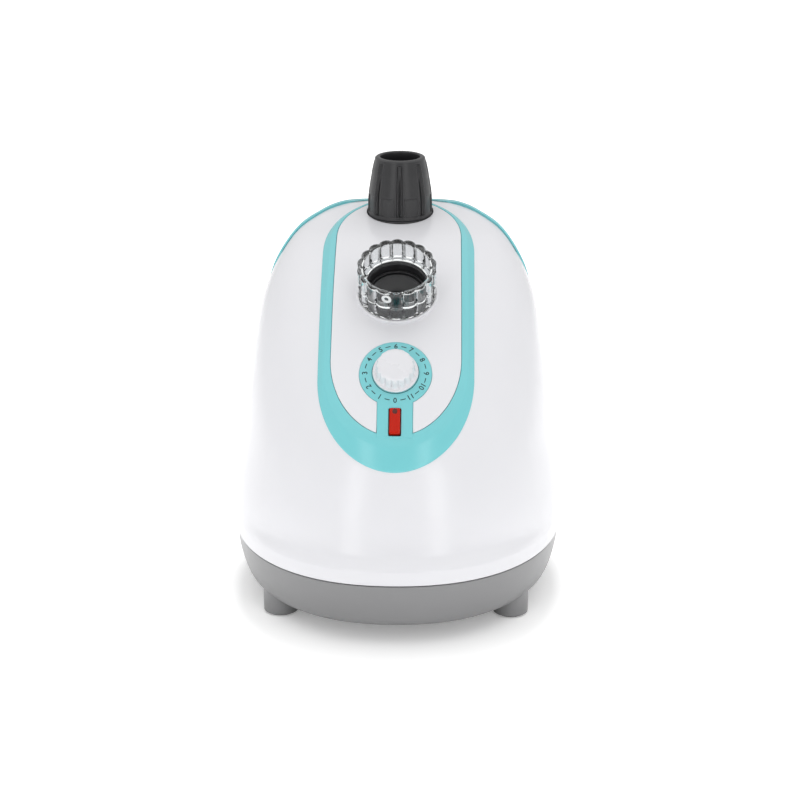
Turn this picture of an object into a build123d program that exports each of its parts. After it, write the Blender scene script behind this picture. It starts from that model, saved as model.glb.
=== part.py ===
"""Floor unit of an upright garment steamer: casing, lift-off water tank, boiler, steam outlet and pole socket.

Millimetres. +Z is up, -Y is the front. The origin is on the floor, at the middle of the footprint.
"""
from build123d import *
import math
import os

# ---------------------------------------------------------------- driving dimensions
PLAN_EXPONENT = 2.2      # roundness of the plan outline: 2 is an ellipse, more is squarer
OUTLINE_POINTS = 16      # spline points round one plan outline
SHELL_WALL = 2.6
TUB_WALL = 2.8
SEAM_Z = 48.0            # where the casing meets the base tub
TUB_FLOOR_Z = 12.5
GAP = 0.35               # clearance between parts that move past each other

# Levels of the casing: height, half width, front, widest line, back
CASING_LEVELS = [
    (48.0, 121.8, -143.0, 11.0, 143.0),
    (59.0, 122.2, -142.6, 12.0, 143.0),
    (68.0, 122.6, -134.0, 13.0, 142.8),
    (80.0, 122.1, -131.3, 14.0, 142.6),
    (95.0, 119.7, -128.3, 16.0, 142.4),
    (120.0, 115.2, -121.3, 20.0, 142.0),
    (150.0, 112.0, -103.5, 26.0, 141.0),
    (182.0, 107.0, -75.2, 34.0, 139.5),
    (205.0, 102.3, -48.0, 43.0, 137.5),
    (224.0, 95.0, -21.5, 53.0, 134.5),
    (239.0, 85.8, 7.5, 65.0, 131.0),
    (250.0, 75.1, 38.0, 79.0, 126.5),
    (257.0, 61.5, 71.0, 92.0, 122.0),
    (261.0, 50.0, 92.0, 102.0, 117.5),
    (263.5, 36.0, 103.0, 108.0, 112.5),
]
TUB_LEVELS = [
    (12.5, 103.0, -124.5, 10.0, 125.5),
    (15.0, 109.5, -131.2, 10.2, 131.9),
    (18.0, 112.5, -134.0, 10.5, 134.5),
    (24.0, 115.0, -137.0, 11.0, 137.5),
    (36.0, 118.5, -140.3, 11.0, 140.6),
    (48.0, 121.2, -142.4, 11.0, 142.4),
]
# How far the raised control deck stands out of the casing, measured level, by height
DECK_RISE = [(100.0, 4.0), (150.0, 4.8), (182.0, 5.8), (224.0, 7.4), (250.0, 7.6), (264.0, 6.0)]
DECK_TOP_RISE = 1.0

DECK_TILT = 50.0         # elevation of the direction in which the deck's outlines are drawn
TRIM_HALF_WIDTH = 56.0
TRIM_BOTTOM, TRIM_LOW_CENTRE, TRIM_HIGH_CENTRE, TRIM_TOP = -11.5, 62.0, 180.0, 255.0
PANEL_HALF_WIDTH = 45.8
PANEL_BOTTOM, PANEL_LOW_CENTRE, PANEL_HIGH_CENTRE, PANEL_TOP = 12.5, 75.0, 195.0, 252.6

DIAL_CENTRE = (0.0, -77.0, 184.9)
DIAL_ELEVATION = 45.0
BEZEL_RADIUS = 25.4
STEM_HALF_WIDTH = 12.6
LAMP_CENTRE = (0.0, -101.2, 157.0)
LAMP_ELEVATION = 40.0
LENS_WIDTH, LENS_LENGTH = 8.4, 19.5

OUTLET_CENTRE = (0.0, -21.6, 228.0)
OUTLET_ELEVATION = 61.0
COLLAR_HEIGHT = 27.0
COLLAR_RADIUS = 28.3
COLLAR_BORE = 26.0
OUTLET_SEAT_RADIUS = 21.5
OUTLET_TAIL = 38.0

POLE_Y = 86.0
POLE_SEAT_Z = 259.2
POLE_SEAT_RADIUS = 24.8
POLE_BORE = 14.2
NUT_HEIGHT = 44.7
NUT_BASE_RADIUS, NUT_SHOULDER_RADIUS, NUT_TOP_RADIUS = 24.6, 23.8, 18.7
NUT_CHANNELS = 8
POLE_TUBE_BOTTOM_Z = 52.0

BAY_RADIUS = 103.6       # plan radius of the wall between casing and tank
BAY_CENTRE_Y = 9.6
BAY_CORNER_X = 88.0
BAY_WALL = 2.2
TRAY_Z = 66.0
TRAY_THICKNESS = 2.6
TANK_BOTTOM_Z = 70.6
TANK_WALL = 2.2
TANK_SPLIT_Z = 214.0     # where the tank's top cover joins the tank
VALVE_X, VALVE_Y = 48.0, 117.0

FOOT_X, FOOT_FRONT_Y, FOOT_BACK_Y = 84.0, -72.0, 84.0
FOOT_RADIUS = 12.8
FOOT_TOP_Z = 23.0
PAD_RADIUS, PAD_THICKNESS = 10.5, 3.0


# ---------------------------------------------------------------- shared geometry
def ramp(table, at):
    """Straight-line reading of a table of (height, value)."""
    if at <= table[0][0]:
        return table[0][1]
    for (low, a), (high, b) in zip(table, table[1:]):
        if at <= high:
            return a + (b - a) * (at - low) / (high - low)
    return table[-1][1]


def plan_face(level, inset=0.0, drop=0.0):
    """A level plan outline of the casing as a face, drawn in by inset and lowered by drop."""
    z, half, front, widest, back = level
    points = []
    for i in range(OUTLINE_POINTS):
        t = 2 * math.pi * i / OUTLINE_POINTS
        c, s = math.cos(t), math.sin(t)
        across = math.copysign(abs(c) ** (2 / PLAN_EXPONENT), c) * (half - inset)
        depth = (back - widest if s > 0 else widest - front) - inset
        along = math.copysign(abs(s) ** (2 / PLAN_EXPONENT), s) * depth
        points.append((across, widest + along, z - drop))
    return Face(Wire(Spline(points, periodic=True)))


def loft_levels(levels, inset=0.0, drop=None):
    """A solid through plan outlines; drop gives how far each level is lowered."""
    return loft([plan_face(level, inset, drop(level[0]) if drop else 0.0) for level in levels], ruled=True)


def casing_solid():
    return loft_levels(CASING_LEVELS)


def casing_cavity():
    levels = [level for level in CASING_LEVELS if level[0] < 262]
    low = levels[0]
    levels = [(low[0] - 1, *low[1:])] + levels[1:]
    return loft_levels(levels, SHELL_WALL, lambda z: ramp([(120.0, 0.0), (261.0, 2.8)], z))


def deck_solid():
    """The casing grown by the deck's height: its skin is the top of the control deck."""
    levels = []
    for z, half, front, widest, back in CASING_LEVELS:
        rise = ramp(DECK_RISE, z)
        lift = ramp([(200.0, 0.0), (263.5, DECK_TOP_RISE)], z)
        levels.append((z + lift, half + rise, front - rise, widest, back + 0.5))
    return loft_levels(levels)


def tilted(centre, elevation):
    """A plane at centre whose normal points to the front, at that elevation above the horizon."""
    e = math.radians(elevation)
    return Plane(origin=centre, x_dir=(1, 0, 0), z_dir=(0, -math.cos(e), math.sin(e)))


def on(plane, shape):
    return plane.location * shape


def racetrack(half_width, bottom, low_centre, high_centre, top, along):
    """Egg-shaped outline on the deck plane, pushed both ways along its normal."""
    plane = tilted((0, 0, 0), DECK_TILT)
    low = EllipticalCenterArc((0, low_centre), half_width, low_centre - bottom, start_angle=180, arc_size=180)
    high = EllipticalCenterArc((0, high_centre), half_width, top - high_centre, start_angle=0, arc_size=180)
    right = Line((half_width, low_centre), (half_width, high_centre))
    left = Line((-half_width, high_centre), (-half_width, low_centre))
    face = Face(Wire([low, right, high, left]))
    return on(plane, extrude(face, along, dir=(0, 0, 1)))


def tube(radius, bore, low, high):
    """A round tube along local Z."""
    body = Pos(0, 0, low) * Cylinder(radius, high - low, align=(Align.CENTER, Align.CENTER, Align.MIN))
    hole = Pos(0, 0, low - 1) * Cylinder(bore, high - low + 2, align=(Align.CENTER, Align.CENTER, Align.MIN))
    return body - hole


def rod(radius, low, high):
    return Pos(0, 0, low) * Cylinder(radius, high - low, align=(Align.CENTER, Align.CENTER, Align.MIN))


def turned(profile):
    """A solid of revolution about local Z from (radius, height) points."""
    outline = Polyline(*[(r, 0, h) for r, h in profile], close=True)
    return revolve(Face(Wire(outline)), Axis.Z, 360)


def bay_face(offset):
    """Plan face of everything behind the tank bay's front wall, moved back by offset."""
    radius = BAY_RADIUS + offset
    x = BAY_CORNER_X
    y = BAY_CENTRE_Y + math.sqrt(radius ** 2 - x ** 2)
    slope = -0.38
    arc = ThreePointArc((-x, y), (0, BAY_CENTRE_Y + radius), (x, y))
    side = 60.0
    corner = (x + side, y + slope * side)
    far = 170.0
    rest = Polyline((x, y), corner, (corner[0], far), (-corner[0], far), (-corner[0], corner[1]), (-x, y))
    return Face(Wire([arc, *rest.edges()]))


def bay_prism(offset, low, high):
    return Pos(0, 0, low) * extrude(bay_face(offset), high - low, dir=(0, 0, 1))


def pipe(points, radius, bore, bend):
    """A hose along a route of straight runs with tangent arcs at its corners."""
    path = FilletPolyline(*points, radius=bend) if len(points) > 2 else Line(*points)
    start = Plane(origin=path @ 0, z_dir=path % 0)
    outer = sweep(start * Circle(radius), path=path)
    if not bore:
        return outer
    return outer - sweep(start * Circle(bore), path=path)


def screw(head_radius, head_height, shank_radius, length):
    """Pan-head screw pointing down local Z, its head's underside at 0."""
    head = Pos(0, 0, 0) * Cylinder(head_radius, head_height, align=(Align.CENTER, Align.CENTER, Align.MIN))
    shank = rod(shank_radius, -length, 0)
    slot = Pos(0, 0, head_height) * (Box(head_radius * 1.2, 0.9, 1.6) + Box(0.9, head_radius * 1.2, 1.6))
    return head + shank - slot


# ---------------------------------------------------------------- casing
OUTER = casing_solid()
CAVITY = casing_cavity()
DECK = deck_solid()
OUTLET = tilted(OUTLET_CENTRE, OUTLET_ELEVATION)
DIAL = tilted(DIAL_CENTRE, DIAL_ELEVATION)
LAMP = tilted(LAMP_CENTRE, LAMP_ELEVATION)


def pole_hole(radius):
    return Pos(0, POLE_Y, 250) * Cylinder(radius, 60)


def make_main_shell():
    """The casing, open behind for the tank and on top for the control deck."""
    shell = OUTER - CAVITY
    shell -= bay_prism(0, TRAY_Z + TRAY_THICKNESS, 300)
    shell -= trim_outline()
    shell -= pole_hole(POLE_SEAT_RADIUS + 0.3)
    return shell


def trim_outline():
    return racetrack(TRIM_HALF_WIDTH, TRIM_BOTTOM, TRIM_LOW_CENTRE, TRIM_HIGH_CENTRE, TRIM_TOP, 320)


def panel_outline():
    return racetrack(PANEL_HALF_WIDTH, PANEL_BOTTOM, PANEL_LOW_CENTRE, PANEL_HIGH_CENTRE, PANEL_TOP, 320)


def stem_prism():
    """Outline of the dial's surround: a disc with a stem that runs down to the trim."""
    plane = tilted((0, 0, 0), DECK_TILT)
    e = math.radians(DECK_TILT)
    v = DIAL_CENTRE[1] * math.sin(e) + DIAL_CENTRE[2] * math.cos(e)
    disc = Pos(0, v) * Circle(BEZEL_RADIUS)
    stem = Pos(0, v / 2) * Rectangle(2 * STEM_HALF_WIDTH, v)
    return on(plane, extrude(disc + stem, 320, dir=(0, 0, 1)))


def make_deck_parts():
    """Trim frame, control panel and dial surround, side by side in one skin."""
    inner = panel_outline()
    stem = stem_prism()
    deck = (DECK & trim_outline()) - CAVITY - bay_prism(-GAP, 100, 300) - pole_hole(POLE_SEAT_RADIUS + 0.3)
    trim = deck - inner
    field = deck & inner
    surround = field & stem
    panel = field - stem
    panel += on(OUTLET, tube(29.6, 22.4, -5, 0.3))
    panel -= on(OUTLET, rod(22.4, -30, 30))
    surround -= on(DIAL, rod(5.2, -20, 20))
    surround -= on(LAMP, Box(LENS_WIDTH + 1.6, LENS_LENGTH + 1.6, 30))
    return largest(trim), largest(panel), largest(surround)


def largest(shape):
    return max(shape.solids(), key=lambda s: s.volume)


# ---------------------------------------------------------------- base tub, feet
TUB = loft_levels(TUB_LEVELS)


def make_base_tub():
    outer = TUB
    z0, *rest = TUB_LEVELS[0]
    inside = [(z0 + TUB_WALL, *rest)] + [lv for lv in TUB_LEVELS[2:-1]]
    top = TUB_LEVELS[-1]
    inside.append((top[0] + 0.5, *top[1:]))
    tub = outer - loft_levels(inside, TUB_WALL)
    for x, y in foot_places():
        tub += (Pos(x, y, TUB_FLOOR_Z) * rod(6.0, 0.5, 30)) & outer
        tub -= Pos(x, y, TUB_FLOOR_Z) * rod(1.9, -1, 26)
    tub += Pos(0, POLE_Y, TUB_FLOOR_Z) * tube(22.0, 18.2, 0.5, POLE_TUBE_BOTTOM_Z - TUB_FLOOR_Z + 6)
    tub -= Pos(DRAIN_X, DRAIN_Y, 0) * rod(7.0, 10, 30)
    tub -= Pos(GLAND_X, 125, GLAND_Z) * Rot(90, 0, 0) * Cylinder(6.2, 50)
    return tub


def foot_places():
    return [(sx * FOOT_X, y) for y in (FOOT_FRONT_Y, FOOT_BACK_Y) for sx in (-1, 1)]


def make_foot(x, y, tub):
    """A short leg whose top is shaped to the rounded edge of the tub."""
    foot = Pos(x, y, 0) * (rod(FOOT_RADIUS, 1.2, FOOT_TOP_Z) - rod(PAD_RADIUS, 0, PAD_THICKNESS) - rod(4.2, 0, 9))
    return largest(foot - Pos(x, y, 0) * rod(2.1, 0, 30) - tub)


def make_foot_pads():
    return [Pos(x, y, 0) * rod(PAD_RADIUS, 0, PAD_THICKNESS) for x, y in foot_places()]


def make_foot_screws():
    return [Pos(x, y, 9) * Rot(180, 0, 0) * screw(3.6, 2.4, 1.85, 28) for x, y in foot_places()]


DRAIN_X, DRAIN_Y = 22.0, -84.0
GLAND_X, GLAND_Z = -30.0, 34.0


# ---------------------------------------------------------------- tank bay and tank
def make_tank_bay():
    """Tray under the tank and the curved wall in front of it, moulded as one piece."""
    levels = [level for level in CASING_LEVELS if 48 < level[0] < 262]
    room = loft_levels(levels, SHELL_WALL + 0.3, lambda z: ramp([(120.0, 0.0), (261.0, 3.1)], z))
    tray = room & bay_prism(-BAY_WALL, TRAY_Z, TRAY_Z + TRAY_THICKNESS)
    wall = room & (bay_prism(-BAY_WALL, TRAY_Z, 262) - bay_prism(0, TRAY_Z - 1, 263))
    bay = tray + wall
    bay -= Pos(VALVE_X, VALVE_Y, TRAY_Z) * rod(13.0, -5, 10)
    return largest(bay)


def tank_outer(offset=GAP):
    return (OUTER & bay_prism(offset, TANK_BOTTOM_Z, 300))


def make_tank_parts():
    """The clear tank below and its opaque cover above, with the handle's recess at the back."""
    whole = tank_outer()
    levels = [level for level in CASING_LEVELS if level[0] < 262]
    hollow = loft_levels(levels, TANK_WALL, lambda z: ramp([(120.0, 0.0), (261.0, 2.4)], z))
    hollow &= bay_prism(GAP + TANK_WALL, TANK_BOTTOM_Z + TANK_WALL, 262)
    above = Pos(0, 0, TANK_SPLIT_Z + 50) * Box(400, 400, 100)
    below = Pos(0, 0, TANK_SPLIT_Z - 100) * Box(400, 400, 200)
    tank = (whole & below) - hollow
    lid_hollow = hollow & (Pos(0, 0, TANK_SPLIT_Z + 2.4 + 50) * Box(400, 400, 100))
    cover = (whole & above) - lid_hollow
    recess = Pos(0, HANDLE_Y + 9.9, HANDLE_Z - 8) * Box(2 * HANDLE_HALF + 14, 28, 34)
    pocket = Pos(0, HANDLE_Y + 8.5, HANDLE_Z - 8) * Box(2 * HANDLE_HALF + 18, 34, 38)
    cover = cover + (pocket & whole & above)
    cover -= recess
    pin_hole = Pos(0, HANDLE_Y, HANDLE_Z) * Rot(0, 90, 0) * Cylinder(2.1, 2 * HANDLE_HALF + 24)
    cover -= pin_hole
    tank += Pos(VALVE_X, VALVE_Y, 0) * rod(8.6, 64.4, TANK_BOTTOM_Z + 1)
    tank -= Pos(VALVE_X, VALVE_Y, 0) * rod(6.6, 60, 80)
    return largest(tank), largest(cover)


HANDLE_Y, HANDLE_Z, HANDLE_HALF, HANDLE_DROP = 124.5, 241.0, 40.0, 17.0


def make_tank_handle():
    """Folding bail that hangs in the recess, on two pins."""
    x, drop = HANDLE_HALF + 3.0, HANDLE_DROP
    bar = Pos(0, HANDLE_Y + 1, HANDLE_Z - drop) * Rot(0, 90, 0) * Cylinder(3.6, 2 * x)
    arms = [Pos(sx * (x - 2.4), HANDLE_Y + 0.5, HANDLE_Z - drop / 2) * Box(4.8, 7.0, drop) for sx in (-1, 1)]
    eyes = [Pos(sx * (x - 2.4), HANDLE_Y, HANDLE_Z) * Rot(0, 90, 0) * Cylinder(3.6, 4.8) for sx in (-1, 1)]
    pins = [Pos(sx * (x + 2.0), HANDLE_Y, HANDLE_Z) * Rot(0, 90, 0) * Cylinder(2.0, 5.0) for sx in (-1, 1)]
    handle = bar
    for piece in arms + eyes + pins:
        handle += piece
    return handle


def make_tank_cap():
    """Screw cap on the tank's neck, with a ribbed rim and a hole for the valve stem."""
    cap = tube(11.0, 8.8, 61.6, 70.2) + tube(11.0, 3.4, 61.6, 64.0)
    for i in range(12):
        cap -= Rot(0, 0, 30 * i) * Pos(11.6, 0, 0) * rod(1.2, 60, 71)
    return Pos(VALVE_X, VALVE_Y, 0) * cap


def make_valve_stem():
    """Plunger that seals the cap's hole from above; a pin in the seat lifts it."""
    stem = rod(2.2, 60.6, 78.6) + rod(5.0, 66.0, 67.6)
    return Pos(VALVE_X, VALVE_Y, 0) * stem


def make_valve_seal():
    return Pos(VALVE_X, VALVE_Y, 0) * tube(5.2, 2.25, 64.05, 65.95)


def make_valve_spring():
    """Compression spring between the plunger's flange and the cage."""
    coil = Helix(pitch=2.0, height=8.0, radius=3.7)
    start = Plane(origin=coil @ 0, z_dir=coil % 0)
    wire = sweep(start * Circle(0.4), path=coil)
    return Pos(VALVE_X, VALVE_Y, 68.1) * wire


def make_spring_cage():
    """Cage in the neck that the spring pushes against."""
    cage = tube(6.3, 5.2, 70.0, 77.0) + tube(8.2, 5.2, TANK_BOTTOM_Z + TANK_WALL + 0.05, 74.0)
    cage += tube(6.3, 2.5, 76.9, 78.2)
    for i in range(4):
        cage -= Rot(0, 0, 90 * i) * Pos(6, 0, 75.5) * Box(4, 4, 2.2)
    return Pos(VALVE_X, VALVE_Y, 0) * cage


def make_tank_seat():
    """Cup under the tray that the cap stands in; its spigot feeds the boiler."""
    cup = rod(12.8, 50.0, 68.4) + rod(14.0, 64.2, 65.9)
    cup += Pos(0, -18.0, 56.0) * Rot(90, 0, 0) * Cylinder(4.0, 16)
    cup -= rod(11.4, 51.8, 71)
    cup -= Pos(0, -18.0, 56.0) * Rot(90, 0, 0) * Cylinder(2.6, 22)
    cup += rod(1.8, 51.0, 60.2)
    return Pos(VALVE_X, VALVE_Y, 0) * cup


# ---------------------------------------------------------------- pole socket, collet and nut
def make_pole_socket():
    top = POLE_SEAT_Z + 24.0
    body = tube(17.6, POLE_BORE, POLE_TUBE_BOTTOM_Z - 30, top)
    body += tube(POLE_SEAT_RADIUS, POLE_BORE, POLE_SEAT_Z - 5.5, POLE_SEAT_Z)
    body += rod(17.6, POLE_TUBE_BOTTOM_Z - 30, POLE_TUBE_BOTTOM_Z - 27)
    return Pos(0, POLE_Y, 0) * body


def make_pole_collet():
    """Split clamping ring that the nut squeezes onto the pole."""
    low = POLE_SEAT_Z + 24.3
    ring = turned([(POLE_BORE + 0.2, low), (17.4, low), (17.4, low + 3), (15.8, low + 13), (POLE_BORE + 0.2, low + 13)])
    ring -= Pos(15, 0, low + 6) * Box(8, 1.6, 20)
    return Pos(0, POLE_Y, 0) * ring


def make_pole_nut():
    z = POLE_SEAT_Z + 0.4
    h = NUT_HEIGHT
    body = turned([
        (18.3, z), (NUT_BASE_RADIUS, z), (NUT_BASE_RADIUS, z + 2.4), (24.2, z + 3.0),
        (NUT_SHOULDER_RADIUS, z + 15.5), (NUT_TOP_RADIUS, z + h - 1.6), (NUT_TOP_RADIUS - 1.4, z + h),
        (15.6, z + h), (14.9, z + h - 1.0), (14.9, z + h - 5.0), (18.3, z + h - 14.0),
    ])
    for i in range(NUT_CHANNELS):
        lean = math.degrees(math.atan2(NUT_SHOULDER_RADIUS - NUT_TOP_RADIUS, h - 17))
        cut = Pos(NUT_SHOULDER_RADIUS - 0.2, 0, z + 15.5) * Rot(0, -lean, 0) * Pos(0.6, 0, 14) * Box(2.6, 3.0, 27)
        low = Pos(NUT_BASE_RADIUS - 0.6, 0, z + 9.4) * Box(2.6, 4.6, 12)
        body -= Rot(0, 0, 360 / NUT_CHANNELS * i - 90) * (cut + low)
    return Pos(0, POLE_Y, 0) * body


def make_pole_screw():
    """Screw through the tub that holds the socket's foot."""
    return Pos(0, POLE_Y, TUB_FLOOR_Z + 3.0) * Rot(180, 0, 0) * screw(4.0, 2.0, 1.9, 6)


# ---------------------------------------------------------------- steam outlet
def make_outlet_socket():
    """Bowl that takes the hose's cuff, with a tail for the steam hose."""
    seat = OUTLET_SEAT_RADIUS
    bowl = turned([
        (6.0, -OUTLET_TAIL), (8.0, -OUTLET_TAIL), (8.0, -8.0), (21.8, -8.0), (21.8, 0.4), (25.4, 0.4),
        (25.4, 7.6), (25.0, 8.0), (seat, 8.0), (seat, 2.8), (21.2, 2.8), (21.2, 0.3), (18.6, 0.3),
        (17.8, -0.4), (9.0, -3.0), (6.0, -3.4),
    ])
    return on(OUTLET, bowl)


def make_outlet_seal():
    return on(OUTLET, Pos(0, 0, 1.5) * Torus(19.95, 1.15))


def make_hose_collar():
    """Clear ribbed ring that locks the hose's cuff, with a notched inner lip."""
    low = 0.8
    ring = tube(COLLAR_RADIUS, COLLAR_BORE, low, COLLAR_HEIGHT)
    ring += tube(29.0, COLLAR_BORE, COLLAR_HEIGHT - 2.6, COLLAR_HEIGHT)
    ring += tube(COLLAR_BORE + 0.5, 24.6, COLLAR_HEIGHT - 4.2, COLLAR_HEIGHT - 0.8)
    ring += tube(COLLAR_BORE + 0.5, 23.6, 9.0, 10.8)
    for i in range(18):
        ring += Rot(0, 0, 20 * i) * Pos(COLLAR_RADIUS, 0, (low + COLLAR_HEIGHT) / 2) * Box(1.8, 3.4, COLLAR_HEIGHT - low)
    ring -= Pos(0, -25, COLLAR_HEIGHT - 2) * Box(9, 3.6, 7)
    return on(OUTLET, ring)


def make_outlet_nut():
    """Ring nut that clamps the outlet's bowl to the casing from inside."""
    return on(OUTLET, tube(14.0, 8.3, -13.5, -8.2))


# ---------------------------------------------------------------- dial, switch and lamp
def make_dial_knob():
    flange = turned([(0, 1.5), (16.3, 1.5), (16.3, 2.9), (15.6, 3.3), (14.2, 13.8), (12.8, 15.4), (0, 16.2)])
    for i in range(16):
        flange -= Rot(0, 0, 22.5 * i) * Pos(15.9, 0, 9.6) * Rot(0, -7.6, 0) * Cylinder(1.3, 10.6)
    flange -= rod(3.05, 0, 12)
    return on(DIAL, flange)


def make_switch_shaft():
    shaft = rod(3.0, -22.0, 11.6)
    shaft -= Pos(3.0, 0, 7) * Box(1.4, 8, 12)
    return on(DIAL, shaft)


def make_switch_body():
    body = Pos(0, 0, -19.5) * Box(30, 30, 18)
    body += rod(4.8, -10.6, -4.0)
    body -= rod(3.06, -24, 0)
    return on(DIAL, body)


def make_switch_nut():
    nut = extrude(RegularPolygon(8.0, 6), 2.6, dir=(0, 0, 1))
    return on(DIAL, Pos(0, 0, -9.8) * (nut - Cylinder(4.9, 20)))


def make_indicator_lens():
    lens = Pos(0, 0, 0.9) * Box(LENS_WIDTH, LENS_LENGTH, 3.4)
    lens = fillet(lens.edges().filter_by(Axis.Z), 0.9)
    lens += Pos(0, 0, -4.0) * Box(LENS_WIDTH - 0.4, LENS_LENGTH - 0.4, 7.0)
    lens -= Pos(0, 0, -4.5) * Box(LENS_WIDTH - 2.4, LENS_LENGTH - 2.4, 10.0)
    return on(LAMP, lens)


def make_neon_lamp():
    bulb = Rot(90, 0, 0) * Cylinder(2.4, 11.0)
    return on(LAMP, Pos(0, 1.0, -3.2) * bulb)


def make_lamp_clip():
    clip = Pos(0, 0, -10.6) * (Box(LENS_WIDTH + 3.4, LENS_LENGTH + 3.4, 5.0) - Box(LENS_WIDTH - 0.2, LENS_LENGTH - 0.2, 3.0))
    return on(LAMP, clip)


# ---------------------------------------------------------------- boiler and hoses
BOILER_X, BOILER_Y, BOILER_Z = 0.0, -34.0, 30.0
BOILER_LENGTH, BOILER_DEPTH = 116.0, 84.0


def rounded_slab(length, depth, low, high, radius):
    face = RectangleRounded(length, depth, radius)
    return Pos(BOILER_X, BOILER_Y, low) * extrude(face, high - low, dir=(0, 0, 1))


def make_boiler_pan():
    pan = rounded_slab(BOILER_LENGTH, BOILER_DEPTH, BOILER_Z, 58, 18)
    pan -= rounded_slab(BOILER_LENGTH - 16, BOILER_DEPTH - 16, BOILER_Z + 12, 60, 12)
    pan += Pos(BOILER_X + 40, BOILER_Y + BOILER_DEPTH / 2 + 5, 48) * Rot(90, 0, 0) * Cylinder(4.0, 14)
    pan -= Pos(BOILER_X + 40, BOILER_Y + BOILER_DEPTH / 2, 48) * Rot(90, 0, 0) * Cylinder(2.6, 30)
    pan -= rounded_slab(BOILER_LENGTH - 16, BOILER_DEPTH - 16, BOILER_Z + 12, 60, 12)
    for x, y in boiler_bolts():
        pan -= Pos(x, y, 0) * rod(2.1, 44, 60)
    pan -= element_shape(4.3)
    return pan


def boiler_bolts():
    return [(BOILER_X + sx * 52, BOILER_Y + sy * 36, ) for sx in (-1, 1) for sy in (-1, 1)]


def element_shape(radius):
    """U-shaped heating tube cast into the pan's floor, its ends out at the front."""
    y0, y1, x = BOILER_Y - BOILER_DEPTH / 2 - 10, BOILER_Y + 22, 34.0
    points = [(-x, y0, BOILER_Z + 5.5), (-x, y1, BOILER_Z + 5.5), (x, y1, BOILER_Z + 5.5), (x, y0, BOILER_Z + 5.5)]
    return pipe(points, radius, 0, 24.0)


def make_heating_element():
    return element_shape(4.0)


def make_boiler_cover():
    cover = rounded_slab(BOILER_LENGTH, BOILER_DEPTH, 60, 64, 18)
    cover += rounded_slab(BOILER_LENGTH - 24, BOILER_DEPTH - 24, 63, 78, 12)
    cover -= rounded_slab(BOILER_LENGTH - 32, BOILER_DEPTH - 32, 59, 74, 9)
    cover += Pos(0, STEAM_Y, 0) * tube(7.0, 5.0, 77, 92)
    cover -= Pos(0, STEAM_Y, 0) * rod(5.0, 70, 95)
    for x, y in boiler_bolts():
        cover -= Pos(x, y, 0) * rod(2.3, 55, 70)
    return cover


STEAM_Y = -18.0


def make_boiler_gasket():
    gasket = rounded_slab(BOILER_LENGTH, BOILER_DEPTH, 58, 60, 18) - rounded_slab(
        BOILER_LENGTH - 20, BOILER_DEPTH - 20, 57, 61, 11)
    for x, y in boiler_bolts():
        gasket -= Pos(x, y, 0) * rod(2.3, 55, 70)
    return gasket


def make_boiler_screws():
    return [Pos(x, y, 64) * screw(3.8, 2.6, 2.0, 18) for x, y in boiler_bolts()]


def make_boiler_brackets():
    """Two heat-resisting stands that hold the boiler off the tub's floor."""
    stands = []
    for sx in (-1, 1):
        stand = Pos(sx * 46, BOILER_Y, 0) * extrude(Pos(0, 0, TUB_FLOOR_Z + TUB_WALL) * RectangleRounded(
            14, 60, 3), BOILER_Z - TUB_FLOOR_Z - TUB_WALL, dir=(0, 0, 1))
        stands.append(stand)
    return stands


def make_thermostat():
    disc = Pos(-28, BOILER_Y + 8, 78) * rod(8.0, 0, 7.5)
    tabs = [Pos(-28 + sx * 5, BOILER_Y + 8, 88.5) * Box(0.8, 6.0, 8.0) for sx in (-1, 1)]
    for tab in tabs:
        disc += tab
    return disc


def make_thermal_fuse():
    body = Pos(24, BOILER_Y - 8, 81.0) * Rot(0, 90, 0) * Cylinder(2.8, 16)
    return body


def make_fuse_clip():
    clip = Pos(24, BOILER_Y - 8, 81.0) * (Box(8, 8.0, 6.0) - Box(10, 5.7, 5.7))
    return clip - Pos(24, BOILER_Y - 8, 86.0) * Box(10, 4.0, 6.0)


def outlet_point(along):
    """A point on the outlet's axis, that far above the deck."""
    e = math.radians(OUTLET_ELEVATION)
    x, y, z = OUTLET_CENTRE
    return (x, y - along * math.cos(e), z + along * math.sin(e))


def make_steam_hose():
    """Silicone hose from the boiler's dome to the outlet's tail."""
    top = outlet_point(-OUTLET_TAIL + 12)
    low = outlet_point(-OUTLET_TAIL - 24)
    points = [top, low, (0, STEAM_Y + 14, 130), (0, STEAM_Y, 104), (0, STEAM_Y, 82)]
    hose = None
    path = FilletPolyline(*points, radius=20)
    start = Plane(origin=path @ 0, z_dir=path % 0)
    hose = sweep(start * Circle(10.4), path=path) - sweep(start * Circle(8.0), path=path)
    sleeve = Pos(0, STEAM_Y, 0) * tube(8.4, 7.0, 81.9, 91.9)
    return hose + sleeve


def make_feed_hose():
    """Silicone hose from the tank's seat to the boiler's inlet."""
    inlet_y = BOILER_Y + BOILER_DEPTH / 2
    points = [
        (VALVE_X, VALVE_Y - 15.5, 56), (VALVE_X, VALVE_Y - 40, 56), (BOILER_X + 40, inlet_y + 34, 48),
        (BOILER_X + 40, inlet_y + 3, 48),
    ]
    return pipe(points, 6.0, 4.05, 14)


def ring_at(point, axis, radius, bore, width):
    return Plane(origin=point, z_dir=axis).location * tube(radius, bore, -width / 2, width / 2)


def make_hose_clamps():
    inlet_y = BOILER_Y + BOILER_DEPTH / 2
    e = math.radians(OUTLET_ELEVATION)
    return [
        ring_at(outlet_point(-OUTLET_TAIL + 7), (0, -math.cos(e), math.sin(e)), 11.6, 10.45, 6.0),
        ring_at((0, STEAM_Y, 87), (0, 0, 1), 11.6, 10.45, 6.0),
        ring_at((VALVE_X, VALVE_Y - 21, 56), (0, 1, 0), 7.2, 6.05, 5.0),
        ring_at((BOILER_X + 40, inlet_y + 8.5, 48), (0, 1, 0), 7.2, 6.05, 5.0),
    ]


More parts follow.
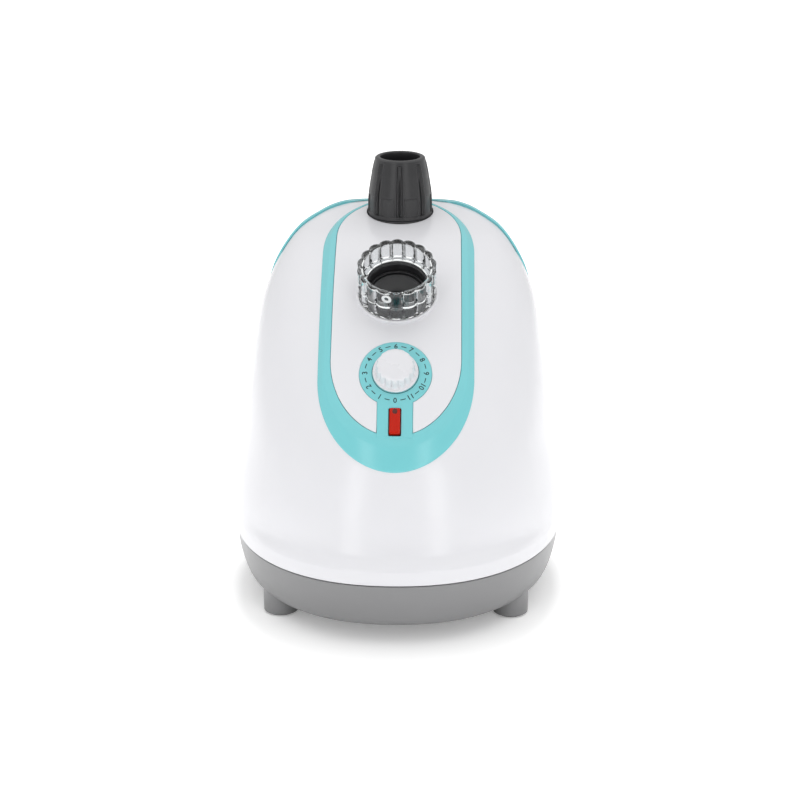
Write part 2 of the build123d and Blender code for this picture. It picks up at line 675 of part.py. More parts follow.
# ---------------------------------------------------------------- mains inlet, drain
def make_cord_gland():
    """Bush in the tub's back wall that the mains lead passes through."""
    bush = tube(6.0, 3.6, 0.0, 12.0) + tube(8.5, 3.6, 8.6, 11.6)
    return Pos(GLAND_X, GLAND_OUTER_Y, GLAND_Z) * Rot(90, 0, 0) * bush


GLAND_OUTER_Y = 139.0


def make_terminal_block():
    block = Pos(GLAND_X - 22, 86, TUB_FLOOR_Z + TUB_WALL + 7) * Box(34, 20, 14)
    for i in (-1, 0, 1):
        block -= Pos(GLAND_X - 22 + 10 * i, 86, TUB_FLOOR_Z + TUB_WALL + 9) * Rot(90, 0, 0) * Cylinder(2.0, 24)
        block -= Pos(GLAND_X - 22 + 10 * i, 86, TUB_FLOOR_Z + TUB_WALL + 12) * Cylinder(2.4, 6)
    return block


def make_drain_plug():
    plug = rod(10.5, TUB_FLOOR_Z - 3.6, TUB_FLOOR_Z - 1.3) + rod(6.8, TUB_FLOOR_Z - 1.5, TUB_FLOOR_Z + 9)
    plug -= Pos(0, 0, TUB_FLOOR_Z - 3.6) * Box(14, 2.2, 2.4)
    return Pos(DRAIN_X, DRAIN_Y, 0) * plug


def make_drain_seal():
    return Pos(DRAIN_X, DRAIN_Y, 0) * tube(9.6, 6.85, TUB_FLOOR_Z - 1.25, TUB_FLOOR_Z - 0.05)


# ---------------------------------------------------------------- assembly
def assembly():
    trim, panel, surround = make_deck_parts()
    tank, cover = make_tank_parts()
    parts = {
        "base_tub": make_base_tub(),
        "foot_pads": make_foot_pads(),
        "foot_screws": make_foot_screws(),
        "main_shell": make_main_shell(),
        "trim_frame": trim,
        "control_panel": panel,
        "dial_surround": surround,
        "tank_bay": make_tank_bay(),
        "tank_seat": make_tank_seat(),
        "water_tank": tank,
        "tank_cover": cover,
        "tank_handle": make_tank_handle(),
        "tank_cap": make_tank_cap(),
        "valve_stem": make_valve_stem(),
        "valve_seal": make_valve_seal(),
        "valve_spring": make_valve_spring(),
        "spring_cage": make_spring_cage(),
        "pole_socket": make_pole_socket(),
        "pole_collet": make_pole_collet(),
        "pole_nut": make_pole_nut(),
        "outlet_socket": make_outlet_socket(),
        "outlet_seal": make_outlet_seal(),
        "outlet_nut": make_outlet_nut(),
        "hose_collar": make_hose_collar(),
        "dial_knob": make_dial_knob(),
        "switch_shaft": make_switch_shaft(),
        "switch_body": make_switch_body(),
        "switch_nut": make_switch_nut(),
        "indicator_lens": make_indicator_lens(),
        "neon_lamp": make_neon_lamp(),
        "lamp_clip": make_lamp_clip(),
        "boiler_pan": make_boiler_pan(),
        "boiler_cover": make_boiler_cover(),
        "boiler_gasket": make_boiler_gasket(),
        "boiler_screws": make_boiler_screws(),
        "boiler_stands": make_boiler_brackets(),
        "heating_element": make_heating_element(),
        "thermostat": make_thermostat(),
        "thermal_fuse": make_thermal_fuse(),
        "fuse_clip": make_fuse_clip(),
        "steam_hose": make_steam_hose(),
        "feed_hose": make_feed_hose(),
        "hose_clamps": make_hose_clamps(),
        "cord_gland": make_cord_gland(),
        "terminal_block": make_terminal_block(),
        "drain_plug": make_drain_plug(),
        "drain_seal": make_drain_seal(),
    }
    for (x, y), name in zip(foot_places(), ("front_left", "front_right", "back_left", "back_right")):
        parts[f"foot_{name}"] = make_foot(x, y, TUB)
    return parts


os.makedirs("parts", exist_ok=True)
for node, shape in assembly().items():
    solids = shape if isinstance(shape, list) else shape.solids()
    whole = solids[0] if len(solids) == 1 else Compound(children=list(solids))
    export_step(whole, f"parts/{node}.step")
    print(node, len(solids), round(sum(s.volume for s in whole.solids())))
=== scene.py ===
"""Base unit of an upright garment steamer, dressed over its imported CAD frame."""

import math

import bmesh
import bpy
import numpy as np
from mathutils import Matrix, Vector
from mathutils.geometry import delaunay_2d_cdt


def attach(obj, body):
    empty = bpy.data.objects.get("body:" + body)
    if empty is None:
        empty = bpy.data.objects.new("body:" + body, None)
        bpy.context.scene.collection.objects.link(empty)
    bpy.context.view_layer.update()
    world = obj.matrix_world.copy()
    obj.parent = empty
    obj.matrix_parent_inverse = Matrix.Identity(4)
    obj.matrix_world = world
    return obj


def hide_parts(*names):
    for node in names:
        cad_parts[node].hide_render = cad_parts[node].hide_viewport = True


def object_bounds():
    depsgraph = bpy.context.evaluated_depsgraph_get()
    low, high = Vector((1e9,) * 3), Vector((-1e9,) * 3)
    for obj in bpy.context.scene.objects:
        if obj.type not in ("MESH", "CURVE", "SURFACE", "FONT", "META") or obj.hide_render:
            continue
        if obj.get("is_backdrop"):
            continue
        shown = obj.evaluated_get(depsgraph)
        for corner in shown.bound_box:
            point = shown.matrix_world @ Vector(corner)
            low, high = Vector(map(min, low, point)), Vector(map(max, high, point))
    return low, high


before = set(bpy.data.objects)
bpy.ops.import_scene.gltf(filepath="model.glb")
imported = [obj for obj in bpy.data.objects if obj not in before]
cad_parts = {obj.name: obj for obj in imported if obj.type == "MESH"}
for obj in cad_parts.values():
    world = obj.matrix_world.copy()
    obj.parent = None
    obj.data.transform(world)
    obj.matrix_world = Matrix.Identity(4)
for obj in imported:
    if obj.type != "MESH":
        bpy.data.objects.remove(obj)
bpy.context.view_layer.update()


# ------------------------------------------------------------------ casing
# The casing is one white ABS moulding, polished in the tool and open behind for the tank.
# Its plan outline is a rounded oval that shrinks and moves back as it rises to the crown.
# The wall is 2.6 mm; it screws down to the tub's bosses and its lip covers the tub's edge.
def monotone(knots, values):
    """A smooth curve through the values that never overshoots them."""
    x, y = np.asarray(knots, float), np.asarray(values, float)
    step, rise = np.diff(x), np.diff(y) / np.diff(x)
    slope = np.zeros_like(y)
    for i in range(1, len(x) - 1):
        if rise[i - 1] * rise[i] > 0:
            w1, w2 = 2 * step[i] + step[i - 1], step[i] + 2 * step[i - 1]
            slope[i] = (w1 + w2) / (w1 / rise[i - 1] + w2 / rise[i])
    slope[0], slope[-1] = rise[0], rise[-1]

    def read(at):
        at = np.clip(np.asarray(at, float), x[0], x[-1])
        i = np.clip(np.searchsorted(x, at, side="right") - 1, 0, len(x) - 2)
        h = step[i]
        t = (at - x[i]) / h
        return (
            y[i] * (1 + 2 * t) * (1 - t) ** 2
            + h * slope[i] * t * (1 - t) ** 2
            + y[i + 1] * t * t * (3 - 2 * t)
            + h * slope[i + 1] * t * t * (t - 1)
        )

    return read


PLAN_EXPONENT = 2.2
CROWN_Z = 264.4
# height, half width, front, widest line, back
CASING = np.array(
    [
        (48.0, 121.8, -142.8, 11.0, 142.8),
        (53.0, 122.0, -143.0, 11.5, 143.0),
        (58.2, 122.1, -142.9, 12.0, 143.0),
        (60.2, 122.2, -141.8, 12.1, 142.9),
        (66.4, 122.5, -135.4, 12.8, 142.8),
        (69.0, 122.5, -134.0, 13.1, 142.8),
        (80.0, 122.1, -131.3, 14.0, 142.6),
        (95.0, 119.7, -128.3, 16.0, 142.4),
        (120.0, 115.2, -121.3, 20.0, 142.0),
        (150.0, 112.0, -103.5, 26.0, 141.0),
        (182.0, 107.0, -75.2, 34.0, 139.5),
        (205.0, 102.3, -48.0, 43.0, 137.5),
        (224.0, 95.0, -21.5, 53.0, 134.5),
        (239.0, 85.8, 7.5, 65.0, 131.0),
        (250.0, 75.1, 38.0, 79.0, 126.5),
        (257.0, 61.5, 71.0, 92.0, 122.0),
        (261.0, 50.0, 92.0, 102.0, 117.5),
        (263.3, 36.0, 102.0, 107.5, 113.6),
        (264.1, 22.0, 105.0, 109.0, 111.6),
        (264.4, 0.05, 109.3, 109.4, 109.5),
    ]
)
casing_half = monotone(CASING[:, 0], CASING[:, 1])
casing_front = monotone(CASING[:, 0], CASING[:, 2])
casing_widest = monotone(CASING[:, 0], CASING[:, 3])
casing_back = monotone(CASING[:, 0], CASING[:, 4])


def outline(z, angle):
    """Points of the casing's plan outline: angle 0 is its right side and -90 degrees its front."""
    z, angle = np.broadcast_arrays(np.asarray(z, float), np.asarray(angle, float))
    c, s = np.cos(angle), np.sin(angle)
    widest = casing_widest(z)
    depth = np.where(s > 0, casing_back(z) - widest, widest - casing_front(z))
    x = casing_half(z) * np.sign(c) * np.abs(c) ** (2 / PLAN_EXPONENT)
    y = widest + depth * np.sign(s) * np.abs(s) ** (2 / PLAN_EXPONENT)
    return np.stack([x, y, z], -1)


def fullness(p):
    """Under 1 inside the casing's outer surface, over 1 outside it."""
    x, y, z = p[..., 0], p[..., 1], p[..., 2]
    widest = casing_widest(z)
    depth = np.where(y > widest, casing_back(z) - widest, widest - casing_front(z))
    value = np.abs(x / casing_half(z)) ** PLAN_EXPONENT + np.abs((y - widest) / depth) ** PLAN_EXPONENT
    return np.where(z > CROWN_Z, 2.0 + z, value)


def outward(p, reach=0.25):
    """Unit normals of the casing's surface at points on it."""
    slope = np.stack(
        [
            np.minimum(fullness(p + reach * axis), 9.0) - np.minimum(fullness(p - reach * axis), 9.0)
            for axis in np.eye(3)
        ],
        -1,
    )
    return slope / np.linalg.norm(slope, axis=-1, keepdims=True)


# The wall between casing and tank, seen from above: a wide arc with straight wings
BAY_RADIUS, BAY_CENTRE_Y, BAY_CORNER_X, WING_SLOPE = 103.6, 9.6, 88.0, -0.38


def bay_line(x, back=0.0):
    """How far back the bay's wall is at x, moved back by a further offset."""
    x = np.abs(np.asarray(x, float))
    arc = BAY_CENTRE_Y + np.sqrt(np.maximum((BAY_RADIUS + back) ** 2 - np.minimum(x, BAY_CORNER_X) ** 2, 0))
    return arc + WING_SLOPE * np.maximum(x - BAY_CORNER_X, 0)


def bay_angle(z, back=0.0):
    """The outline's angle where it meets the bay's wall, or straight back where it doesn't reach it."""
    low, high = np.full(np.shape(z), -math.pi / 2), np.full(np.shape(z), math.pi / 2)
    for _ in range(50):
        middle = (low + high) / 2
        p = outline(z, middle)
        ahead = p[..., 1] < bay_line(p[..., 0], back)
        low, high = np.where(ahead, middle, low), np.where(ahead, high, middle)
    return low


def grid_faces(rows, columns, start=0, wrap=False):
    """Quads of a grid of points stored row by row."""
    faces = []
    for r in range(rows - 1):
        for c in range(columns if wrap else columns - 1):
            a, b = start + r * columns + c, start + r * columns + (c + 1) % columns
            faces.append((a, b, b + columns, a + columns))
    return faces


def make_piece(name, points, faces, material, body, nodes=(), weld=0.004, slot=None, sharp=None):
    """Builds a mesh from millimetre points, shades it and hangs it on its CAD body."""
    mesh = bpy.data.meshes.new(name)
    mesh.from_pydata([tuple(p) for p in np.asarray(points, float) * 0.001], [], faces)
    work = bmesh.new()
    work.from_mesh(mesh)
    bmesh.ops.remove_doubles(work, verts=work.verts, dist=weld * 0.001)
    bmesh.ops.dissolve_degenerate(work, edges=work.edges, dist=0.00001)
    bmesh.ops.recalc_face_normals(work, faces=work.faces)
    work.to_mesh(mesh)
    work.free()
    mesh.polygons.foreach_set("use_smooth", [True] * len(mesh.polygons))
    if sharp:
        mesh.set_sharp_from_angle(angle=math.radians(sharp))
    piece = bpy.data.objects.new(name, mesh)
    bpy.context.collection.objects.link(piece)
    mesh.materials.append(material)
    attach(piece, body)
    if nodes:
        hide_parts(*nodes)
    return piece


def plastic(name, colour, roughness, coat=0.0, grain=0.02, grain_size=0.0012, flow=0.04, marks=0.03):
    """Moulded plastic: faint flow variation in colour, fine grain and soft handling marks in the gloss."""
    material = bpy.data.materials.new(name)
    material.use_nodes = True
    tree = material.node_tree
    shader = tree.nodes["Principled BSDF"]
    shader.inputs["Coat Weight"].default_value = coat
    shader.inputs["Coat Roughness"].default_value = 0.2
    shader.inputs["IOR"].default_value = 1.5
    place = tree.nodes.new("ShaderNodeTexCoord")

    flows = tree.nodes.new("ShaderNodeTexNoise")
    flows.inputs["Scale"].default_value = 14.0
    flows.inputs["Detail"].default_value = 4.0
    tree.links.new(place.outputs["Object"], flows.inputs["Vector"])
    tint = tree.nodes.new("ShaderNodeMapRange")
    tint.inputs["From Min"].default_value, tint.inputs["From Max"].default_value = 0.3, 0.7
    tint.inputs["To Min"].default_value, tint.inputs["To Max"].default_value = 1 - flow, 1.0
    tree.links.new(flows.outputs["Fac"], tint.inputs["Value"])
    mix = tree.nodes.new("ShaderNodeVectorMath")
    mix.operation = "SCALE"
    mix.inputs[0].default_value = colour
    tree.links.new(tint.outputs["Result"], mix.inputs["Scale"])
    tree.links.new(mix.outputs["Vector"], shader.inputs["Base Color"])

    wear = tree.nodes.new("ShaderNodeTexNoise")
    wear.inputs["Scale"].default_value = 55.0
    wear.inputs["Detail"].default_value = 8.0
    wear.inputs["Roughness"].default_value = 0.62
    tree.links.new(place.outputs["Object"], wear.inputs["Vector"])
    gloss = tree.nodes.new("ShaderNodeMapRange")
    gloss.inputs["From Min"].default_value, gloss.inputs["From Max"].default_value = 0.35, 0.75
    gloss.inputs["To Min"].default_value, gloss.inputs["To Max"].default_value = roughness, roughness + marks
    tree.links.new(wear.outputs["Fac"], gloss.inputs["Value"])
    tree.links.new(gloss.outputs["Result"], shader.inputs["Roughness"])

    fine = tree.nodes.new("ShaderNodeTexNoise")
    fine.inputs["Scale"].default_value = 1 / grain_size
    fine.inputs["Detail"].default_value = 2.0
    tree.links.new(place.outputs["Object"], fine.inputs["Vector"])
    bump = tree.nodes.new("ShaderNodeBump")
    bump.inputs["Strength"].default_value = grain
    bump.inputs["Distance"].default_value = 0.0002
    tree.links.new(fine.outputs["Fac"], bump.inputs["Height"])
    tree.links.new(bump.outputs["Normal"], shader.inputs["Normal"])
    return material


white_gloss = plastic("white_gloss", (0.84, 0.84, 0.87), 0.22, coat=0.35, grain=0.012, flow=0.02)

SHELL_WALL, SHELL_FOOT_Z, TRAY_TOP_Z = 2.6, 48.0, 68.6
EDGE_ROUND = 0.7  # radius of the moulded edges beside the tank
LIP_ROUND = 0.9  # radius of the casing's lower lip
FAR = 99.0  # stands for a place that no rounded edge reaches


def rising_levels(low, high, pitch, start_edge=()):
    """Heights spaced evenly along the casing's front line, so that the crown is as fine as the sides."""
    fine = np.linspace(low, high, 1500)
    run = np.hypot(np.diff(fine), np.diff(casing_front(fine)))
    length = np.concatenate([[0], np.cumsum(run)])
    count = max(int(length[-1] / pitch), 4)
    levels = np.interp(np.linspace(0, length[-1], count + 1), length, fine)
    return np.unique(np.concatenate([levels, np.asarray(start_edge, float)]))


def round_edge(points, distance, radius=EDGE_ROUND):
    """Lets a surface roll inward over the last part of its way to an edge."""
    sink = radius - np.sqrt(np.maximum(radius**2 - np.maximum(radius - distance, 0) ** 2, 0))
    return points - sink[..., None] * outward(points)


def fan(count, length, radius=EDGE_ROUND):
    """Fractions from 0 to 1 along a run of that length, gathered at both ends for the rounded edges."""
    close = radius * np.array([0, 0.1, 0.25, 0.5, 0.75, 1.0]) / length
    middle = np.linspace(close[-1], 1 - close[-1], count)
    return np.concatenate([close[:-1], middle, 1 - close[:-1][::-1]])


skirt_levels = np.array(
    [SHELL_FOOT_Z, 48.1, 48.35, 48.8, 50, 52, 54, 56, 57, 57.8, 58.4]
    + [58.9, 59.4, 60, 60.8, 62, 63.4, 64.8, 66, 67, 67.8, TRAY_TOP_Z]
)
wall_levels = rising_levels(TRAY_TOP_Z, CROWN_Z - 0.005, 2.2)
front_share = fan(150, 520.0)
reach = bay_angle(wall_levels)[:, None]
angles = -math.pi / 2 + (2 * front_share[None, :] - 1) * (reach + math.pi / 2)
upper = outline(wall_levels[:, None], angles)
run = np.linalg.norm(np.diff(upper, axis=1), axis=2).cumsum(axis=1)
run = np.concatenate([np.zeros((len(wall_levels), 1)), run], 1)
to_edge = np.minimum(run, run[:, -1:] - run)
closed = reach > math.pi / 2 - 1e-6
to_edge = np.where(closed, FAR, to_edge)
upper = round_edge(upper, to_edge)

low_reach = reach[0, 0]
behind = np.linspace(low_reach, 3 * math.pi / 2 - (low_reach + math.pi / 2), 90)[1:-1]
low_angles = np.concatenate([angles[0], behind])
lower = outline(skirt_levels[:, None], low_angles[None, :])
above_lip = np.maximum(LIP_ROUND - (skirt_levels - SHELL_FOOT_Z), 0)
lip = LIP_ROUND - np.sqrt(np.maximum(LIP_ROUND**2 - above_lip**2, 0))
lower = lower - lip[:, None, None] * outward(lower)
n_front = len(front_share)
at_back = np.arange(len(low_angles))[None, :] >= n_front
depth_down = np.where(at_back, TRAY_TOP_Z - skirt_levels[:, None], FAR)
lower = round_edge(lower, depth_down)

shell_points = np.concatenate([lower.reshape(-1, 3), upper.reshape(-1, 3)])
shell_faces = grid_faces(len(skirt_levels), len(low_angles), wrap=True)
shell_faces += grid_faces(len(wall_levels), n_front, start=lower.shape[0] * lower.shape[1])


# The deck's outlines are drawn on a plane that leans back; its normal rises 50 degrees
TILT = math.radians(50.0)
DECK_UP = np.array([0.0, math.sin(TILT), math.cos(TILT)])
DECK_OUT = np.array([0.0, -math.cos(TILT), math.sin(TILT)])
ACROSS = np.array([1.0, 0.0, 0.0])


def deck_point(u, v, rise=0.0):
    """The casing's skin at (u, v) of the deck's plane, raised along its normal."""
    u, v, rise = np.broadcast_arrays(*(np.asarray(a, float) for a in (u, v, rise)))
    start = u[..., None] * ACROSS + v[..., None] * DECK_UP
    inner, found = np.zeros(u.shape), np.zeros(u.shape, bool)
    for w in np.arange(226.0, 30.0, -2.0):
        new = (fullness(start + w * DECK_OUT) < 1) & ~found
        inner = np.where(new, w, inner)
        found |= new
    outer = inner + 2.0
    for _ in range(24):
        middle = (inner + outer) / 2
        inside = fullness(start + middle[..., None] * DECK_OUT) < 1
        inner, outer = np.where(inside, middle, inner), np.where(inside, outer, middle)
    p = start + inner[..., None] * DECK_OUT
    return p + rise[..., None] * outward(p)


def egg(half_width, bottom, low_centre, high_centre, top, squareness=2.0, count=320):
    """Closed outline on the deck's plane: half ovals joined by straight sides, started at the lower left."""
    n_low, n_side = int(count * 0.42), int(count * 0.14)
    n_high = count - n_low - 2 * n_side
    low = np.linspace(math.pi, 2 * math.pi, n_low, endpoint=False)
    high = np.linspace(0, math.pi, n_high, endpoint=False)
    up = np.linspace(0, 1, n_side, endpoint=False)

    def arc(t, centre, height, power):
        c, s = np.cos(t), np.sin(t)
        return np.stack(
            [
                half_width * np.sign(c) * np.abs(c) ** (2 / power),
                centre + height * np.sign(s) * np.abs(s) ** (2 / power),
            ],
            -1,
        )

    right = np.stack([np.full(n_side, half_width), low_centre + up * (high_centre - low_centre)], -1)
    left = right[::-1] * (-1, 1)
    left[:, 1] = high_centre + up * (low_centre - high_centre)
    bottom_arc = arc(low, low_centre, low_centre - bottom, squareness)
    top_arc = arc(high, high_centre, top - high_centre, 2.0)
    return np.concatenate([bottom_arc, right, top_arc, left])


def grown(ring, by):
    """A closed outline moved outward by a small distance."""
    along = np.roll(ring, -1, 0) - np.roll(ring, 1, 0)
    normal = np.stack([along[:, 1], -along[:, 0]], -1)
    return ring + by * normal / np.linalg.norm(normal, axis=1, keepdims=True)


PANEL_EDGE = egg(46.0, 13.0, 75.0, 195.0, 252.0)
RIDGE = egg(50.3, 5.4, 68.0, 188.0, 253.6, squareness=2.15)
TRIM_EDGE = egg(56.0, -11.2, 62.0, 180.0, 254.8)
# how far the deck stands above the casing, by height on the deck's plane
deck_rise = monotone([0, 60, 130, 180, 215, 240, 256], [3.7, 3.8, 3.7, 3.4, 2.7, 1.7, 0.9])


def inside_ring(points, ring):
    """True for the points of the plane inside a closed outline."""
    x, y = points[..., 0], points[..., 1]
    result = np.zeros(x.shape, bool)
    for (x0, y0), (x1, y1) in zip(ring, np.roll(ring, -1, 0)):
        crosses = (y0 > y) != (y1 > y)
        if crosses.any():
            at = x0 + (y - y0) / (y1 - y0 if y1 != y0 else 1e-9) * (x1 - x0)
            result ^= crosses & (x < at)
    return result


# The casing is open under the deck; the cut's edge is hidden below the trim
centres = np.array([shell_points[list(f)].mean(0) for f in shell_faces])
flat = np.stack([centres[:, 0], centres @ DECK_UP], -1)
in_front = (centres[:, 1] < 112.0) & (centres @ DECK_OUT > 20)  # leaves the casing's back and foot alone
under_deck = inside_ring(flat, grown(RIDGE, -1.0)) & in_front
shell_faces = [f for f, gone in zip(shell_faces, under_deck) if not gone]
shell = make_piece(
    "casing_shell", shell_points, shell_faces, white_gloss, "base", ["main_shell"], slot="casing_white"
)
wall = shell.modifiers.new("wall", "SOLIDIFY")
wall.thickness, wall.offset = SHELL_WALL * 0.001, -1.0
wall.use_quality_normals = True


# ------------------------------------------------------------------ trim and dial surround
# Two light blue mouldings: a frame round the panel, and the dial's ring on a stem in the middle.
# The frame's inner facet lies flush with the panel; the outer one slopes down to the casing.
aqua_gloss = plastic("aqua_gloss", (0.20, 0.65, 0.69), 0.24, coat=0.3, grain=0.012, flow=0.03)

DIAL_CENTRE = np.array([0.0, -77.0, 184.9])
DIAL_V = DIAL_CENTRE @ DECK_UP
SURROUND_RADIUS, STEM_HALF = 25.4, 12.4


def ring_stack(layers):
    """Joins closed rings of the same count, given as points, into a strip of quads."""
    count = len(layers[0])
    return np.concatenate(layers), grid_faces(len(layers), count, wrap=True)


def between(a, b, share):
    return a + (b - a) * share


layers = []
for outline_2d, drop in (
    (grown(PANEL_EDGE, 0.15), 3.2),
    (grown(PANEL_EDGE, 0.15), 0.45),
    (grown(PANEL_EDGE, 0.28), 0.12),
    (grown(PANEL_EDGE, 0.6), 0.0),
    (between(PANEL_EDGE, RIDGE, 0.5), 0.0),
    (between(PANEL_EDGE, RIDGE, 0.85), 0.0),
    (between(PANEL_EDGE, RIDGE, 0.96), 0.06),
):
    layers.append(deck_point(*outline_2d.T, deck_rise(outline_2d[:, 1]) - drop))
for share in (0.06, 0.15, 0.3, 0.5, 0.7, 0.86, 0.95):
    outline_2d = between(RIDGE, TRIM_EDGE, share)
    height = deck_rise(outline_2d[:, 1]) * (1 - share) ** 1.08 + 0.55 * share
    layers.append(deck_point(*outline_2d.T, height))
for by, height in ((0.0, 0.3), (0.05, -0.1), (-0.3, -1.3), (-1.2, -1.6)):
    outline_2d = grown(TRIM_EDGE, by)
    layers.append(deck_point(*outline_2d.T, height))
outline_2d = grown(PANEL_EDGE, 1.4)
layers.append(deck_point(*outline_2d.T, deck_rise(outline_2d[:, 1]) - 3.2 - 1.0))
layers.append(layers[0])
trim_points, trim_faces = ring_stack(layers)
make_piece("trim_frame_aqua", trim_points, trim_faces, aqua_gloss, "base", ["trim_frame"], slot="trim_aqua")


def stem_ring(radius, half, low, count=140):
    """Outline of the dial's ring and its stem, closed, turning the same way as the egg."""
    join = math.acos(half / radius)
    arc = np.linspace(-join, math.pi + join, count)
    disc = np.stack([radius * np.cos(arc), DIAL_V + radius * np.sin(arc)], -1)
    fall = np.linspace(DIAL_V - radius * math.sin(join), low, 40)[1:]
    left = np.stack([np.full(len(fall), -half), fall], -1)
    across = np.linspace(-half, half, 16)[1:-1]
    foot = np.stack([across, np.full(len(across), low)], -1)
    return np.concatenate([disc, left, foot, left[::-1] * (-1, 1)])


RIM_ROUND = 0.35


def fill_skin(outer, holes, pitch, height_of, wall_depth):
    """A panel that follows the skin: outline, round-edged rim, holes, and a fine even filling."""
    rings = [(outer, -1)] + [(h, 1) for h in holes]
    plane, limits = [], []
    for ring, sign in rings:
        inset = grown(ring, sign * RIM_ROUND)
        limits.append(np.arange(len(plane), len(plane) + len(inset)))
        plane.extend(inset)
    low, high = outer.min(0), outer.max(0)
    xs, ys = np.arange(low[0], high[0], pitch), np.arange(low[1], high[1], pitch)
    inner = np.stack(np.meshgrid(xs, ys), -1).reshape(-1, 2)
    keep = inside_ring(inner, grown(outer, -RIM_ROUND - pitch * 0.45))
    for h in holes:
        keep &= ~inside_ring(inner, grown(h, RIM_ROUND + pitch * 0.45))
    seeds = np.concatenate([np.array(plane), inner[keep]])
    edges = [(int(r[i]), int(r[(i + 1) % len(r)])) for r in limits for i in range(len(r))]
    found = delaunay_2d_cdt([Vector(p) for p in seeds], edges, [], 0, 1e-6)
    flat_points = np.array([tuple(p) for p in found[0]])
    middles = np.array([flat_points[list(f)].mean(0) for f in found[2]])
    solid = inside_ring(middles, grown(outer, -0.349))
    for h in holes:
        solid &= ~inside_ring(middles, grown(h, 0.349))
    faces = [tuple(f) for f, ok in zip(found[2], solid) if ok]
    points = [deck_point(*flat_points.T, height_of(flat_points[:, 1]))]
    start = len(flat_points)
    for ring, sign in rings:
        bands = []
        rolled = ((RIM_ROUND, 0.0), (0.2, 0.04), (0.07, 0.14), (0.0, RIM_ROUND))
        for by, drop in (*rolled, (0.0, wall_depth), (1.2, wall_depth + 0.6)):
            edge = grown(ring, sign * by)
            bands.append(deck_point(*edge.T, height_of(edge[:, 1]) - drop))
        strip, quads = ring_stack(bands)
        points.append(strip)
        faces += [tuple(i + start for i in q) for q in quads]
        start += len(strip)
    return np.concatenate(points), faces


def seat_ring(centre, axis, radius, count=96, height_of=None):
    """Outline on the deck's plane of a round hole bored along an axis through the raised skin."""
    axis = np.asarray(axis, float) / np.linalg.norm(axis)
    up = np.cross(axis, ACROSS)
    turn = np.linspace(0, 2 * math.pi, count, endpoint=False)
    wanted = centre + radius * (np.cos(turn)[:, None] * ACROSS + np.sin(turn)[:, None] * up)
    flat_ring = np.stack([wanted[:, 0], wanted @ DECK_UP], -1)
    for _ in range(14):
        error = wanted - deck_point(*flat_ring.T, height_of(flat_ring[:, 1]))
        flat_ring = flat_ring + np.stack([error @ ACROSS, (error @ up) * 0.8], -1)
    return flat_ring


def slope_axis(elevation):
    e = math.radians(elevation)
    return np.array([0.0, -math.cos(e), math.sin(e)])


DIAL_AXIS, LAMP_AXIS, OUTLET_AXIS = slope_axis(45.0), slope_axis(40.0), slope_axis(61.0)
LAMP_CENTRE = np.array([0.0, -101.9, 157.0])
OUTLET_CENTRE = np.array([0.0, -21.6, 228.0])
LENS_WIDTH, LENS_LENGTH = 8.4, 19.5


def rounded_box(width, length, radius, count=6):
    """Rounded rectangle about the origin, anticlockwise."""
    corners = []
    for i, (sx, sy) in enumerate(((1, -1), (1, 1), (-1, 1), (-1, -1))):
        turn = np.linspace(-math.pi / 2, 0, count) + i * math.pi / 2
        centre = np.array([sx * (width / 2 - radius), sy * (length / 2 - radius)])
        corners.append(centre + radius * np.stack([np.cos(turn), np.sin(turn)], -1))
    return np.concatenate(corners)


lens_slot = rounded_box(LENS_WIDTH + 0.5, LENS_LENGTH + 0.5, 0.9) + (0, LAMP_CENTRE @ DECK_UP)
shaft_hole = seat_ring(DIAL_CENTRE, DIAL_AXIS, 6.0, 48, deck_rise)
surround_outer = stem_ring(SURROUND_RADIUS, STEM_HALF, 11.5)
points, faces = fill_skin(surround_outer, [shaft_hole, lens_slot], 1.7, lambda v: deck_rise(v) + 0.25, 2.2)
make_piece("dial_ring_aqua", points, faces, aqua_gloss, "base", ["dial_surround"], slot="trim_aqua", sharp=40)


# ------------------------------------------------------------------ control panel
# The white field inside the trim, a separate 3 mm moulding clipped in from behind.
# It carries the hose outlet's low round plinth and is cut out for the pole's seat.
POLE_Y, POLE_SEAT_Z, POLE_SEAT_RADIUS = 86.0, 259.2, 24.8
outlet_hole = seat_ring(OUTLET_CENTRE, OUTLET_AXIS, 25.9, 96, deck_rise)
pole_hole = seat_ring(np.array([0.0, POLE_Y, 258.0]), (0, 0, 1), POLE_SEAT_RADIUS + 0.3, 128, deck_rise)
surround_cut = stem_ring(SURROUND_RADIUS + 0.18, STEM_HALF + 0.18, 8.0)
edge = grown(PANEL_EDGE, -0.15)
in_stem = inside_ring(edge, surround_cut)
first = int(np.argmax(in_stem))
edge_open = np.concatenate([edge[first + int(in_stem.sum()):], edge[:first]])
below_stem = np.array([(-99, -99), (99, -99), (99, 20.0), (-99, 20.0)])
notch = surround_cut[~inside_ring(surround_cut, below_stem)]
notch = notch[inside_ring(notch, edge)]
lowest = int(np.argmin(notch[:, 1] + 1e3 * (notch[:, 0] < 0)))
notch = np.roll(notch, -lowest, 0)
panel_outer = np.concatenate([edge_open, notch[::-1]])
points, faces = fill_skin(panel_outer, [outlet_hole, pole_hole], 1.9, deck_rise, 2.6)
make_piece("panel_field", points, faces, white_gloss, "base", ["control_panel"], slot="panel_white", sharp=40)


